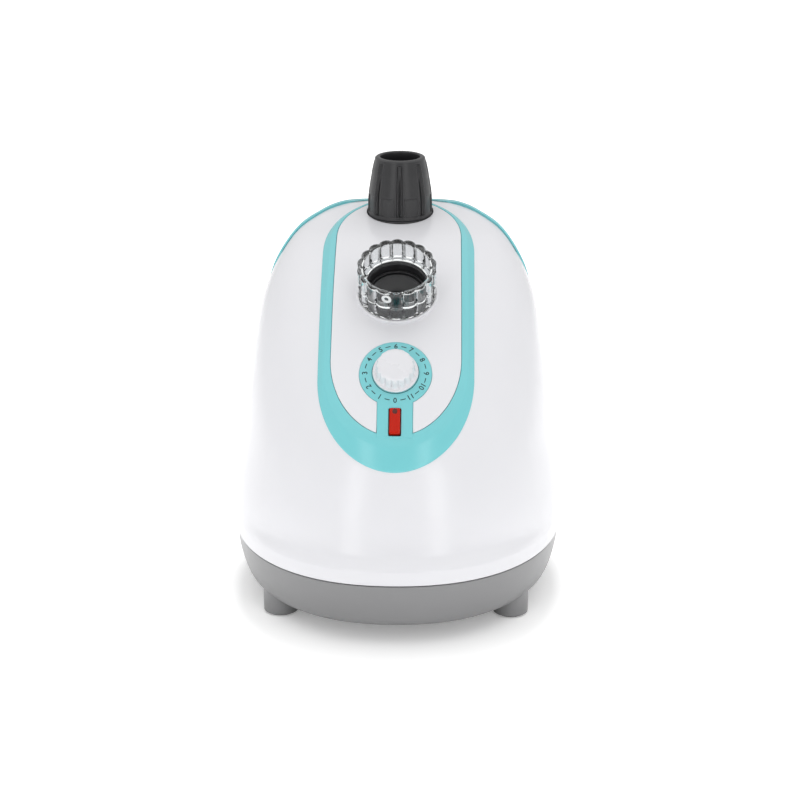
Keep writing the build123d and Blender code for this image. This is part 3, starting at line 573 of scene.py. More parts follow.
# ------------------------------------------------------------------ base tub and feet
# A grey moulded tub closes the casing from below. Its lower edge is rolled under and it
# stands on four short hollow legs, each with a rubber pad and a screw from underneath.
grey_satin = plastic("grey_satin", (0.27, 0.27, 0.275), 0.30, coat=0.15, grain=0.03, flow=0.04, marks=0.06)
TUB = np.array(
    [
        (12.4, 100.0, -121.0, 10.0, 122.0),
        (12.6, 104.0, -125.5, 10.0, 126.5),
        (13.3, 107.5, -129.2, 10.2, 130.0),
        (15.0, 111.0, -132.9, 10.5, 133.4),
        (18.0, 113.6, -135.8, 10.7, 136.2),
        (24.0, 116.2, -138.4, 11.0, 138.7),
        (36.0, 119.3, -141.2, 11.0, 141.3),
        (47.4, 121.0, -142.2, 11.0, 142.2),
    ]
)
tub_half, tub_front, tub_widest, tub_back = (monotone(TUB[:, 0], TUB[:, i]) for i in (1, 2, 3, 4))


def tub_outline(z, angle, inset=0.0):
    c, s = np.cos(angle), np.sin(angle)
    widest = tub_widest(z)
    depth = np.where(s > 0, tub_back(z) - widest, widest - tub_front(z)) - inset
    x = (tub_half(z) - inset) * np.sign(c) * np.abs(c) ** (2 / PLAN_EXPONENT)
    y = widest + depth * np.sign(s) * np.abs(s) ** (2 / PLAN_EXPONENT)
    return np.stack(np.broadcast_arrays(x, y, z), -1)


turn = np.linspace(0, 2 * math.pi, 300, endpoint=False)
tub_rings = []
for share in (0.02, 0.3, 0.6, 0.8, 0.9, 0.97):
    ring = tub_outline(np.array(12.4), turn)
    ring[:, :2] = (0, 10) + (ring[:, :2] - (0, 10)) * share
    tub_rings.append(ring)
for z in (12.4, 12.45, 12.6, 12.9, 13.3, 14.0, 15.0, 16.4, 18.0, 20.5, 24, 28, 32, 36, 40, 44, 46.4):
    tub_rings.append(tub_outline(np.array(z), turn))
for inset, z in (
    (0.05, 46.9), (0.25, 47.25), (0.6, 47.4), (2.2, 47.4),
    (2.8, 47.0), (2.8, 36.0), (4.0, 18.0), (9.0, 15.4),
):
    tub_rings.append(tub_outline(np.array(z), turn, inset))
for share in (0.8, 0.4, 0.02):
    ring = tub_outline(np.array(15.4), turn, 9.0)
    ring[:, :2] = (0, 10) + (ring[:, :2] - (0, 10)) * share
    tub_rings.append(ring)
points, faces = ring_stack(tub_rings)
make_piece("tub_moulding", points, faces, grey_satin, "base", ["base_tub"], slot="tub_grey")


def turned(profile, count, centre, axis=(0, 0, 1)):
    """Surface of revolution from a closed (radius, height) outline, about an axis through centre."""
    axis = np.asarray(axis, float) / np.linalg.norm(axis)
    first = ACROSS if abs(axis[0]) < 0.9 else np.array([0.0, 1.0, 0.0])
    up = np.cross(axis, first)
    around = np.linspace(0, 2 * math.pi, count, endpoint=False)
    spin = np.cos(around)[:, None] * first + np.sin(around)[:, None] * up
    rings = [np.asarray(centre) + max(r, 0.0005) * spin + h * axis for r, h in profile]
    return ring_stack(rings + [rings[0]])


def stack(*meshes):
    """Several point-and-face sets as one."""
    points, faces, start = [], [], 0
    for p, f in meshes:
        points.append(np.asarray(p, float))
        faces += [tuple(i + start for i in q) for q in f]
        start += len(p)
    return np.concatenate(points), faces


def bevelled(profile, radius=0.4):
    """A closed (radius, height) profile with its corners rounded off."""
    p = np.asarray(profile, float)
    rounded = []
    for i in range(len(p)):
        a, b, c = p[i - 1], p[i], p[(i + 1) % len(p)]
        ba, bc = a - b, c - b
        la, lc = np.linalg.norm(ba), np.linalg.norm(bc)
        if la < 1e-6 or lc < 1e-6 or b[0] < 0.01:
            rounded.append(tuple(b))
            continue
        r = min(radius, 0.4 * la, 0.4 * lc)
        for t in (0.0, 0.33, 0.67, 1.0):
            q = (1 - t) ** 2 * (b + ba / la * r) + 2 * t * (1 - t) * b + t * t * (b + bc / lc * r)
            rounded.append(tuple(q))
    return rounded


rubber = plastic("rubber_black", (0.018, 0.018, 0.02), 0.62, grain=0.12, grain_size=0.0008, marks=0.12)


def even_material(name, colour, roughness, metallic=0.0):
    """A material that is the same all over: bare metal, print and small hidden parts."""
    material = bpy.data.materials.new(name)
    material.use_nodes = True
    shader = material.node_tree.nodes["Principled BSDF"]
    shader.inputs["Base Color"].default_value = (*colour, 1)
    shader.inputs["Metallic"].default_value = metallic
    shader.inputs["Roughness"].default_value = roughness
    return material


zinc = even_material("zinc_plated", (0.55, 0.55, 0.56), 0.35, metallic=1.0)

FOOT_X, FOOT_FRONT_Y, FOOT_BACK_Y, FOOT_RADIUS = 84.0, -72.0, 84.0, 12.8
leg_profile = bevelled(
    [
        (10.6, 1.25), (FOOT_RADIUS - 0.2, 1.25), (FOOT_RADIUS, 16.0), (FOOT_RADIUS, 21.5),
        (0.001, 21.5), (0.001, 9.0), (4.2, 9.0), (4.2, 3.0), (10.6, 3.0),
    ],
    0.6,
)
pad_profile = bevelled([(4.4, 0.0), (10.4, 0.0), (10.4, 3.0), (4.4, 3.0)], 0.7)
screw_profile = bevelled([(0.001, 8.2), (1.2, 8.2), (1.2, 6.7), (3.4, 6.9), (3.6, 8.95), (0.001, 8.95)], 0.3)
pads, screws = [], []
for y, row in ((FOOT_FRONT_Y, "front"), (FOOT_BACK_Y, "back")):
    for x, side in ((-FOOT_X, "left"), (FOOT_X, "right")):
        name = f"{row}_{side}"
        points, faces = turned(leg_profile, 72, (x, y, 0))
        make_piece(
            f"leg_{name}", points, faces, grey_satin, "base", [f"foot_{name}"], sharp=35, slot="tub_grey"
        )
        pads.append(turned(pad_profile, 64, (x, y, 0)))
        screws.append(turned(screw_profile, 32, (x, y, 0)))
make_piece("pads_rubber", *stack(*pads), rubber, "base", ["foot_pads"], sharp=35, slot="rubber_black")
make_piece("leg_screw_heads", *stack(*screws), zinc, "base", ["foot_screws"], sharp=35, slot="steel")


# ------------------------------------------------------------------ water tank and its cover
# The tank is a crescent behind the casing, clear bluish SAN below and opaque light blue
# above. Its cover is welded on; a folding handle lies in a recess at the back.
def clear_plastic(name, colour, ior, cloud_scale, cloud_detail, gloss_from, gloss_to):
    """See-through or tinted plastic whose gloss wanders a little, as handling leaves it."""
    material = bpy.data.materials.new(name)
    material.use_nodes = True
    tree = material.node_tree
    shader = tree.nodes["Principled BSDF"]
    shader.inputs["Base Color"].default_value = (*colour, 1)
    shader.inputs["IOR"].default_value = ior
    place = tree.nodes.new("ShaderNodeTexCoord")
    clouds = tree.nodes.new("ShaderNodeTexNoise")
    clouds.inputs["Scale"].default_value = cloud_scale
    clouds.inputs["Detail"].default_value = cloud_detail
    tree.links.new(place.outputs["Object"], clouds.inputs["Vector"])
    gloss = tree.nodes.new("ShaderNodeMapRange")
    gloss.inputs["To Min"].default_value, gloss.inputs["To Max"].default_value = gloss_from, gloss_to
    tree.links.new(clouds.outputs["Fac"], gloss.inputs["Value"])
    tree.links.new(gloss.outputs["Result"], shader.inputs["Roughness"])
    return material, shader


tank_clear, shader = clear_plastic("tank_clear", (0.52, 0.86, 0.90), 1.49, 30.0, 6.0, 0.05, 0.16)
shader.inputs["Transmission Weight"].default_value = 0.92

GAP, TANK_WALL, TANK_BOTTOM_Z, TANK_SPLIT_Z = 0.35, 2.2, 70.6, 214.0
TANK_TOP_Z = 262.2


def crescent(z, inset, columns):
    """Closed plan outline of the tank at a height: round the back, then along the bay's wall."""
    z = np.full(1, float(z))
    edge_angle = bay_angle(z, GAP)[0]
    around = np.linspace(edge_angle, math.pi - edge_angle, columns)
    back = outline(np.full(columns, z[0]), around)
    back = back - inset * outward(back) * (1, 1, 0)
    good = np.where(back[:, 1] > bay_line(back[:, 0], GAP) + inset)[0]
    if inset > 0 and len(good) > 2:
        a, b = good[0], good[-1]
        target = np.linspace(a, b, columns)
        back = np.stack([np.interp(target, np.arange(columns), back[:, i]) for i in range(3)], -1)
    limit = abs(back[0, 0])
    front_x = np.linspace(-limit, limit, columns)[1:-1]
    front = np.stack([front_x, bay_line(front_x, GAP) + inset, np.full(len(front_x), z[0])], -1)
    return np.concatenate([back, front])


rolled_edge = ((0.0, 1.4), (0.12, 0.8), (0.45, 0.35), (1.1, 0.06), (1.6, 0.0))
tank_rings = [(TANK_BOTTOM_Z + up, inset) for up, inset in rolled_edge]
tank_rings += [(z, 0.0) for z in np.linspace(74, TANK_SPLIT_Z - 0.8, 42)]
tank_rings += [(TANK_SPLIT_Z - 0.35, 0.08), (TANK_SPLIT_Z - 0.15, 0.35), (TANK_SPLIT_Z - 0.15, TANK_WALL)]
tank_rings += [(z, TANK_WALL) for z in np.linspace(TANK_SPLIT_Z - 3, 76, 30)]
tank_rings += [(73.8, TANK_WALL + 0.15), (73.0, TANK_WALL + 0.8), (72.8, TANK_WALL + 1.8)]
columns = 140
shapes = [crescent(z, inset, columns) for z, inset in tank_rings]
points, faces = ring_stack(shapes)


def lids(layers, columns):
    """Closes the first and last crescent of a stack with quads from its back line to its front line."""
    total = len(layers[0])
    quads = []
    for start in (0, (len(layers) - 1) * total):
        for i in range(columns - 1):
            a, b = start + i, start + i + 1
            c, d = start + (total - i) % total, start + total - 1 - i
            if i == 0:
                quads.append((a, b, d))
            elif i == columns - 2:
                quads.append((a, b, c))
            else:
                quads.append((a, b, d, c))
    return quads


faces += lids(shapes, columns)
make_piece("tank_clear_body", points, faces, tank_clear, "tank", ["water_tank"], sharp=50, slot="tank_clear")

cover_top = rising_levels(TANK_SPLIT_Z + 3, TANK_TOP_Z, 2.0)
rolled_edge = ((0.1, 1.2), (0.1, 0.5), (0.3, 0.12), (0.8, 0.0))
cover_rings = [(TANK_SPLIT_Z + up, inset) for up, inset in rolled_edge]
cover_rings += [(z, 0.0) for z in cover_top]
COVER_SPREAD, COVER_RISE = 0.8, 1.9  # the cover stands a little proud of the casing's skin
shapes = []
for z, inset in cover_rings:
    share = min(max((z - TANK_SPLIT_Z) / 12, 0), 1)
    shape = crescent(z, inset - COVER_SPREAD * share if inset == 0 else inset, columns)
    shape[:, 2] += COVER_RISE * min(max((z - TANK_SPLIT_Z - 2) / 20, 0), 1)
    shapes.append(shape)
points, faces = ring_stack(shapes)
faces += lids(shapes, columns)
cover = make_piece(
    "tank_cover_aqua", points, faces, aqua_gloss, "tank", ["tank_cover"], sharp=50, slot="trim_aqua"
)

HANDLE_Y, HANDLE_Z, HANDLE_HALF, HANDLE_DROP = 124.5, 241.0, 40.0, 17.0


def cut_box(target, low, high, name, round_by):
    """Cuts a round-edged box out of a piece, for good."""
    bpy.ops.mesh.primitive_cube_add(size=1)
    cutter = bpy.context.object
    cutter.name = name
    cutter.scale = [(b - a) * 0.001 for a, b in zip(low, high)]
    cutter.location = [(a + b) * 0.0005 for a, b in zip(low, high)]
    bpy.ops.object.transform_apply(location=True, rotation=False, scale=True)
    soft = cutter.modifiers.new("soft", "BEVEL")
    soft.width, soft.segments = round_by * 0.001, 4
    cut = target.modifiers.new("cut", "BOOLEAN")
    cut.operation, cut.object, cut.solver = "DIFFERENCE", cutter, "EXACT"
    bpy.context.view_layer.objects.active = target
    target.select_set(True)
    bpy.ops.object.modifier_apply(modifier="cut")
    bpy.data.objects.remove(cutter)


cut_box(cover, (-47, 120.3, 216.0), (47, 150, 250.0), "handle_recess", 2.0)
cover.data.set_sharp_from_angle(angle=math.radians(50))


def rounded_rod(path, radius, count):
    """A round bar along a path in an upright plane across the unit, with domed ends."""
    path = np.asarray(path, float)
    along = np.gradient(path, axis=0)
    along /= np.linalg.norm(along, axis=1, keepdims=True)
    guide = np.array([0.0, 1.0, 0.0])
    around = np.linspace(0, 2 * math.pi, count, endpoint=False)
    sections = []
    for t in along:
        side = np.cross(t, guide)
        side /= np.linalg.norm(side)
        sections.append(np.cos(around)[:, None] * side + np.sin(around)[:, None] * np.cross(side, t))
    dome = (0.4, 0.8, 1.2, 1.5)
    layers = []
    for end, way, turns in ((0, -1, dome[::-1]), (-1, 1, dome)):
        cap = [
            path[end] + way * radius * math.sin(a) * along[end] * 0.5 + radius * math.cos(a) * sections[end]
            for a in turns
        ]
        layers += cap if end else cap + [p + radius * ring for p, ring in zip(path, sections)]
    points, faces = ring_stack(layers)
    faces += [tuple(range(count))[::-1], tuple((len(layers) - 1) * count + i for i in range(count))]
    return points, faces


# Folding bail of the tank, light grey, turning on the pins of its two eyes
def bail_path(half, drop, radius=6.0):
    turn_in = np.linspace(0, math.pi / 2, 10)
    left = [(-half, 0, 0), (-half, 0, -(drop - radius))]
    corner = [
        (-half + radius - radius * math.cos(t), 0, -(drop - radius) - radius * math.sin(t))
        for t in turn_in[1:]
    ]
    right = [(-x, y, z) for x, y, z in (left + corner)][::-1]
    middle = [(x, 0, -drop) for x in np.linspace(-half + radius, half - radius, 20)[1:-1]]
    return np.array(left + corner + middle + right) + (0, HANDLE_Y + 0.7, HANDLE_Z)


grey_light = plastic("grey_light", (0.60, 0.61, 0.63), 0.34, grain=0.05, marks=0.07)
BAIL_HALF, BAIL_RADIUS = HANDLE_HALF + 0.6, 3.2
bail = rounded_rod(bail_path(BAIL_HALF, HANDLE_DROP), BAIL_RADIUS, 24)
eye_profile = bevelled([(0.001, -2.4), (3.6, -2.4), (3.6, 2.4), (0.001, 2.4)], 0.4)
eyes = [turned(eye_profile, 40, (side * BAIL_HALF, HANDLE_Y, HANDLE_Z), (1, 0, 0)) for side in (-1, 1)]
points, faces = stack(bail, *eyes)
make_piece("handle_bail", points, faces, grey_light, "handle", ["tank_handle"], sharp=45, slot="bay_grey")


# ------------------------------------------------------------------ tank bay
# Behind the casing a grey moulding makes the bay: a tray the tank stands on and the curved
# wall in front of it. It is satin and plain, and shows only when the tank is lifted off.
bay_grey = plastic("bay_grey", (0.47, 0.48, 0.50), 0.38, grain=0.06, marks=0.08)


def finish_nodes(material, *nodes):
    """Gives pieces that keep their own shapes a material."""
    for node in nodes:
        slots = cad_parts[node].data.materials
        slots.clear()
        slots.append(material)


finish_nodes(bay_grey, "tank_bay", "tank_seat")


# ------------------------------------------------------------------ pole socket and nut
# Dark grey glass-filled nylon. The nut is a tapered cone with eight grip channels over a
# plain foot; it screws down on the socket's neck and closes the split collet on the pole.
dark_nylon = plastic(
    "dark_nylon", (0.030, 0.030, 0.032), 0.34, coat=0.05, grain=0.05, grain_size=0.0009, marks=0.10
)
NUT_Z, NUT_GROOVES = POLE_SEAT_Z + 0.4, 8
nut_outside = monotone(
    [0, 2.2, 2.9, 5.6, 9.5, 13.5, 17.5, 21.5, 25.4, 29.4, 33.4, 37.4, 41.3, 44.7],
    [24.4, 24.3, 24.15, 24.1, 24.0, 23.9, 23.6, 23.0, 22.4, 21.7, 21.1, 20.2, 19.4, 18.7],
)
NUT_STEP_Z = 16.6  # height of the low panels between the channels


def nut_skin(height, angle):
    """Radius of the nut's outside: a cone with sunk panels low down and eight grooved ribs."""
    radius = nut_outside(height)
    step = 2 * math.pi / NUT_GROOVES
    off = (angle + math.pi / 2 + step / 2) % step - step / 2
    across = np.abs(off) * radius
    body = np.clip((height - 2.6) / 0.6, 0, 1) * np.clip((41.6 - height) / 1.2, 0, 1)
    wide = 2.9 - 0.022 * height
    groove = 1.1 * np.clip((wide - across) / 0.7, 0, 1)
    slit = 1.3 * np.clip((0.75 - across) / 0.45, 0, 1) * np.clip((36.0 - height) / 14.0, 0.15, 1)
    lips = 0.35 * np.clip(1 - np.abs(across - wide - 0.5) / 0.5, 0, 1)
    panel = 0.75 * np.clip((NUT_STEP_Z - height) / 0.45, 0, 1) * np.clip((height - 2.6) / 0.6, 0, 1)
    panel = panel * np.clip((across - wide - 0.9) / 0.5, 0, 1)
    return radius - body * (groove + slit - lips) - panel


fine_steps = [2.2, 2.6, 2.8, 3.0, 3.2, 3.6, 16.1, 16.25, 16.4, NUT_STEP_Z, 16.8]
fine_steps += [40.2, 40.6, 41.0, 41.3, 41.6]
heights = np.unique(np.concatenate([np.linspace(0.35, 43.6, 70), fine_steps]))
around = np.linspace(0, 2 * math.pi, NUT_GROOVES * 72, endpoint=False)


def pole_ring(radius, z):
    radius = np.broadcast_to(radius, around.shape)
    level = np.full(len(around), NUT_Z + z)
    return np.stack([radius * np.cos(around), POLE_Y + radius * np.sin(around), level], -1)


rings = [pole_ring(r, z) for r, z in ((18.5, 0.0), (23.9, 0.0), (24.35, 0.1))]
rings += [pole_ring(nut_skin(np.full(len(around), h), around), h) for h in heights]
nut_mouth = [
    (18.55, 43.9), (18.1, 44.35), (17.5, 44.62), (16.8, 44.7), (15.9, 44.7), (15.4, 44.55),
    (15.1, 44.2), (14.95, 43.6), (14.9, 39.7), (18.35, 30.7), (18.35, 1.0), (18.5, 0.0),
]
rings += [pole_ring(r, z) for r, z in nut_mouth]
points, faces = ring_stack(rings)
make_piece("pole_nut_ribbed", points, faces, dark_nylon, "nut", ["pole_nut"], sharp=38, slot="dark_grey")

collet = bevelled([(14.4, 24.3), (17.4, 24.3), (17.4, 27.3), (15.8, 37.3), (14.4, 37.3)], 0.4)
points, faces = turned(collet, 96, (0, POLE_Y, POLE_SEAT_Z))
make_piece(
    "pole_collet_ring", points, faces, dark_nylon, "base", ["pole_collet"], sharp=38, slot="dark_grey"
)
socket = bevelled(
    [
        (14.2, -230), (17.6, -230), (17.6, -5.5), (POLE_SEAT_RADIUS, -5.5),
        (POLE_SEAT_RADIUS, 0.0), (17.6, 0.0), (17.6, 24.0), (14.2, 24.0),
    ],
    0.5,
)
points, faces = turned(socket, 96, (0, POLE_Y, POLE_SEAT_Z))
make_piece(
    "pole_socket_tube", points, faces, dark_nylon, "base", ["pole_socket"], sharp=38, slot="dark_grey"
)


# ------------------------------------------------------------------ steam outlet
# A dark grey bowl with the steam hole in its middle, a rubber ring for the hose's cuff, and
# a raised lip that the clear collar turns on.
bowl = bevelled(
    [
        (6.0, -38.0), (8.0, -38.0), (8.0, -8.0), (21.8, -8.0), (21.8, 0.4), (25.4, 0.4), (25.4, 8.0),
        (21.5, 8.0), (21.5, 2.8), (21.2, 0.3), (18.4, 0.3), (17.4, -0.5), (8.6, -3.2), (7.0, -4.2),
        (6.0, -6.0),
    ],
    0.45,
)
points, faces = turned(bowl, 96, OUTLET_CENTRE, OUTLET_AXIS)
make_piece("outlet_bowl", points, faces, dark_nylon, "base", ["outlet_socket"], sharp=38, slot="dark_grey")
SEAL_RADIUS, SEAL_SECTION = 19.95, 1.1
section_turn = np.linspace(0, 2 * math.pi, 16, endpoint=False)
seal = [(SEAL_RADIUS + SEAL_SECTION * math.cos(t), 1.5 + SEAL_SECTION * math.sin(t)) for t in section_turn]
points, faces = turned(seal, 96, OUTLET_CENTRE, OUTLET_AXIS)
make_piece("outlet_seal_ring", points, faces, rubber, "base", ["outlet_seal"], slot="rubber_black")

# Low plinth of the panel round the outlet, white
plinth = bevelled([(25.95, -4.0), (29.5, -4.0), (29.5, -0.2), (29.0, 0.35), (25.95, 0.35)], 0.4)
points, faces = turned(plinth, 96, OUTLET_CENTRE, OUTLET_AXIS)
make_piece("outlet_plinth", points, faces, white_gloss, "base", sharp=38, slot="panel_white")


# ------------------------------------------------------------------ hose collar
# Clear polycarbonate ring with eighteen finger flutes and a scalloped rim. A ledge inside
# holds the cuff, notched at the front, and a small eye beside the notch shows its lock.
collar_clear, shader = clear_plastic("collar_clear", (0.93, 0.95, 0.95), 1.52, 90.0, 5.0, 0.01, 0.07)
shader.inputs["Transmission Weight"].default_value = 1.0

COLLAR_FLUTES = 18
outlet_up = np.cross(OUTLET_AXIS, ACROSS)
collar_turn = np.linspace(0, 2 * math.pi, COLLAR_FLUTES * 24, endpoint=False)
lobes = 0.5 + 0.5 * np.cos(COLLAR_FLUTES * (collar_turn + math.pi / 2))
spin = np.cos(collar_turn)[:, None] * ACROSS + np.sin(collar_turn)[:, None] * outlet_up


def collar_ring(radius, height):
    """One ring of the collar: its radius is a number, or one for each step round it."""
    return OUTLET_CENTRE + np.asarray(radius).reshape(-1, 1) * spin + height * OUTLET_AXIS


flute = lobes**0.55
valley = np.clip((0.16 - lobes) / 0.16, 0, 1)
outside = [collar_ring(r, h) for h, r in ((1.0, 27.9), (0.8, 28.3), (1.1, 28.6), (2.0, 28.65))]
for height, radius, deep in (
    (2.5, 28.2, 0.2), (3.2, 27.8, 0.9), (4.4, 27.6, 1.25), (9.0, 27.55, 1.25), (14.0, 27.5, 1.25),
    (22.6, 27.35, 1.25), (24.4, 27.3, 1.3), (25.9, 27.25, 1.5), (26.6, 27.1, 1.5), (26.95, 26.8, 1.35),
):
    outside.append(collar_ring(radius + deep * flute - 0.35 * valley, height))
front_turn = np.abs(np.angle(np.exp(1j * (collar_turn + math.pi / 2))))
notch_open = np.clip((4.6 - front_turn * 23.0) / 0.7, 0, 1)
inside_rings = [collar_ring(r + w * flute, h) for h, r, w in ((27.0, 26.2, 1.0), (26.8, 25.8, 0.9))]
lip_gap = 1.1 * np.clip((5.4 - np.abs(front_turn * 25.0 - 1.0)) / 0.8, 0, 1)
inner_lip = ((26.3, 24.7), (25.9, 24.4), (24.9, 24.4), (24.6, 24.8))
inside_rings += [collar_ring(r + lip_gap, h) for h, r in inner_lip]
for height in (24.2, 20.0, 16.0, 12.6):
    inside_rings.append(collar_ring(26.0 + 0.5 * valley, height))
ledge = 22.3 + notch_open * 3.4
for height, radius in (
    (12.2, ledge + 0.6), (12.05, ledge + 0.15), (11.7, ledge), (10.7, ledge), (10.35, ledge + 0.15),
    (10.2, ledge + 0.6), (10.1, 25.95), (1.2, 25.95), (1.0, 26.3),
):
    inside_rings.append(collar_ring(radius, height))
points, faces = ring_stack(outside + inside_rings + [outside[0]])
eye_angle = math.radians(-90 - 14.0)
eye_out = math.cos(eye_angle) * ACROSS + math.sin(eye_angle) * outlet_up
eye_side = np.cross(OUTLET_AXIS, eye_out)
eye_centre = OUTLET_CENTRE + 28.0 * eye_out + 21.6 * OUTLET_AXIS
loop = np.linspace(0, 2 * math.pi, 40, endpoint=False)
eye_rings = []
for t in np.linspace(0, 2 * math.pi, 12, endpoint=False):
    r, h = 2.6 + 1.05 * math.cos(t), 0.6 * math.sin(t) + 0.55
    around_eye = np.cos(loop)[:, None] * eye_side + np.sin(loop)[:, None] * OUTLET_AXIS
    eye_rings.append(eye_centre + r * around_eye + h * eye_out)
eye_mesh = ring_stack(eye_rings + [eye_rings[0]])
make_piece(
    "hose_collar_clear", points, faces, collar_clear, "collar", ["hose_collar"], sharp=50, slot="collar_clear"
)
eye_white = plastic("eye_white", (0.80, 0.82, 0.82), 0.3)
make_piece("collar_lock_eye", *eye_mesh, eye_white, "collar", sharp=60, slot="collar_clear")


# ------------------------------------------------------------------ dial knob
# White ABS knob with a domed top, a tapering side with sixteen flutes and a thin skirt at
# its foot, moulded in one and pushed onto the switch's shaft.
KNOB_FLUTES = 16
knob_turn = np.linspace(0, 2 * math.pi, KNOB_FLUTES * 20, endpoint=False)
dial_up = np.cross(DIAL_AXIS, ACROSS)
knob_spin = np.cos(knob_turn)[:, None] * ACROSS + np.sin(knob_turn)[:, None] * dial_up
knob_flute = np.abs(np.cos(KNOB_FLUTES / 2 * knob_turn)) ** 0.7


def knob_ring(radius, height):
    return DIAL_CENTRE + np.asarray(radius).reshape(-1, 1) * knob_spin + height * DIAL_AXIS


skirt = (
    (3.2, 1.2), (14.0, 1.2), (15.9, 1.2), (16.2, 1.3),
    (16.3, 1.6), (16.3, 2.2), (16.2, 2.5), (15.9, 2.7),
)
dome = (
    (11.6, 13.7), (10.6, 14.2), (9.2, 14.65), (7.4, 15.05),
    (5.4, 15.3), (3.4, 15.4), (1.6, 15.45), (0.01, 15.46),
)
knob_rings = [knob_ring(r, h) for r, h in skirt]
for h, r, deep in (
    (2.8, 14.9, 0.25), (3.1, 14.6, 1.0), (3.8, 14.45, 1.5), (5.5, 14.2, 1.6), (7.5, 13.95, 1.6),
    (9.5, 13.7, 1.5), (11.0, 13.4, 1.2), (12.0, 13.1, 0.7), (12.7, 12.7, 0.25), (13.2, 12.3, 0.0),
):
    knob_rings.append(knob_ring(r - deep * (1 - knob_flute), h))
knob_rings += [knob_ring(r, h) for r, h in dome]
points, faces = ring_stack(knob_rings)
knob_white = plastic("knob_white", (0.82, 0.82, 0.85), 0.26, coat=0.2, grain=0.02, flow=0.02)
make_piece("dial_knob_white", points, faces, knob_white, "dial", ["dial_knob"], sharp=50, slot="panel_white")


# ------------------------------------------------------------------ dial markings and painted gap shadow
# Pad-printed in dark green-black on the dial's ring: 0 at the bottom, then 1 to 11 round the
# ring, with a dash between every two figures. A thin ring inside them, in the same ink, is
# painted shadow of the gap under the knob's skirt.
print_and_shade_ink = even_material("print_and_painted_shade_ink", (0.004, 0.035, 0.036), 0.45)


def lay_on_ring(flat_points):
    """Puts flat points of the dial's plane onto the raised ring, a hair above it."""
    flat_points = np.asarray(flat_points, float)
    wanted = DIAL_CENTRE + flat_points[:, :1] * ACROSS + flat_points[:, 1:2] * dial_up
    seat = np.stack([wanted[:, 0], wanted @ DECK_UP], -1)
    for _ in range(8):
        error = wanted - deck_point(*seat.T, deck_rise(seat[:, 1]) + 0.28)
        seat = seat + np.stack([error @ ACROSS, (error @ dial_up) * 0.9], -1)
    return deck_point(*seat.T, deck_rise(seat[:, 1]) + 0.275)


MARK_RADIUS, FIGURES, FIGURE_SIZE = 21.9, 12, 5.4
DASH_LENGTH, DASH_WIDTH, DASH_STEPS = 3.8, 0.64, 7
# A thin dark ring just outside the knob's skirt: painted shadow of the gap under the skirt.
SHADOW_RING_RADIUS, SHADOW_RING_WIDTH, SHADOW_RING_STEPS = 16.55, 0.4, 120
mark_points, mark_faces = [], []
for place_index in range(FIGURES):
    angle = -math.pi / 2 - place_index * 2 * math.pi / FIGURES
    inward_turn = angle - math.pi / 2
    text = bpy.data.curves.new("figure", "FONT")
    text.body, text.size = str(place_index), FIGURE_SIZE
    text.offset = 0.10
    text.align_x, text.align_y = "CENTER", "CENTER"
    text.resolution_u = 3
    holder = bpy.data.objects.new("figure", text)
    bpy.context.collection.objects.link(holder)
    shape = bpy.data.meshes.new_from_object(holder.evaluated_get(bpy.context.evaluated_depsgraph_get()))
    bpy.data.objects.remove(holder)
    flat_shape = np.array([v.co[:2] for v in shape.vertices])
    flat_shape = flat_shape - (flat_shape.max(0) + flat_shape.min(0)) / 2
    c, s = math.cos(inward_turn), math.sin(inward_turn)
    seat = MARK_RADIUS * np.array([math.cos(angle), math.sin(angle)])
    turned_shape = flat_shape @ np.array([[c, s], [-s, c]]) + seat
    start = len(mark_points)
    mark_points.extend(lay_on_ring(turned_shape))
    mark_faces += [tuple(i + start for i in f.vertices) for f in shape.polygons]
    bpy.data.meshes.remove(shape)
    dash = angle - math.pi / FIGURES
    bend = dash + np.linspace(-0.5, 0.5, DASH_STEPS) * DASH_LENGTH / MARK_RADIUS
    edges = (MARK_RADIUS - DASH_WIDTH / 2, MARK_RADIUS + DASH_WIDTH / 2)
    band = [(r * math.cos(a), r * math.sin(a)) for r in edges for a in bend]
    start = len(mark_points)
    mark_points.extend(lay_on_ring(band))
    mark_faces += grid_faces(2, DASH_STEPS, start=start)
# Painted shadow of the gap under the knob's skirt, laid as a thin ring in the dial's ink.
shadow_ring_turn = np.linspace(0, 2 * math.pi, SHADOW_RING_STEPS, endpoint=False)
start = len(mark_points)
edges = (SHADOW_RING_RADIUS, SHADOW_RING_RADIUS + SHADOW_RING_WIDTH)
mark_points.extend(lay_on_ring([(r * math.cos(a), r * math.sin(a)) for r in edges for a in shadow_ring_turn]))
mark_faces += grid_faces(2, SHADOW_RING_STEPS, start=start, wrap=True)
# One piece for the printed figures and dashes and the painted shadow ring.
make_piece("dial_figures_and_gap_shadow", mark_points, mark_faces, print_and_shade_ink, "base", weld=0.001)


# ------------------------------------------------------------------ indicator lens
# Clear red acrylic window in the stem, with the neon lamp's dark end showing at its top.
lens_red, shader = clear_plastic("lens_red", (0.55, 0.012, 0.001), 1.3, 300.0, 2.0, 0.12, 0.3)
shader.inputs["Subsurface Weight"].default_value = 0.1
shader.inputs["Subsurface Radius"].default_value = (0.004, 0.001, 0.0005)

LENS_PLAY = 0.7  # how much narrower the window is than its seat
lamp_up = np.cross(LAMP_AXIS, ACROSS)
lens_rings = []
for inset, height in ((0.0, -3.0), (0.0, 1.0), (0.1, 1.4), (0.35, 1.7), (0.8, 1.85), (2.0, 1.95), (3.6, 2.0)):
    corner = max(0.9 - inset * 0.3, 0.15)
    ring = rounded_box(LENS_WIDTH - LENS_PLAY - 2 * inset, LENS_LENGTH - 2 * inset, corner)
    lens_rings.append(LAMP_CENTRE + ring[:, :1] * ACROSS + ring[:, 1:2] * lamp_up + height * LAMP_AXIS)
points, faces = ring_stack(lens_rings)
count = len(lens_rings[0])
faces += [tuple(range(count))[::-1], tuple((len(lens_rings) - 1) * count + i for i in range(count))]
make_piece("indicator_lens_red", points, faces, lens_red, "base", ["indicator_lens"], sharp=40, slot="lens_red")

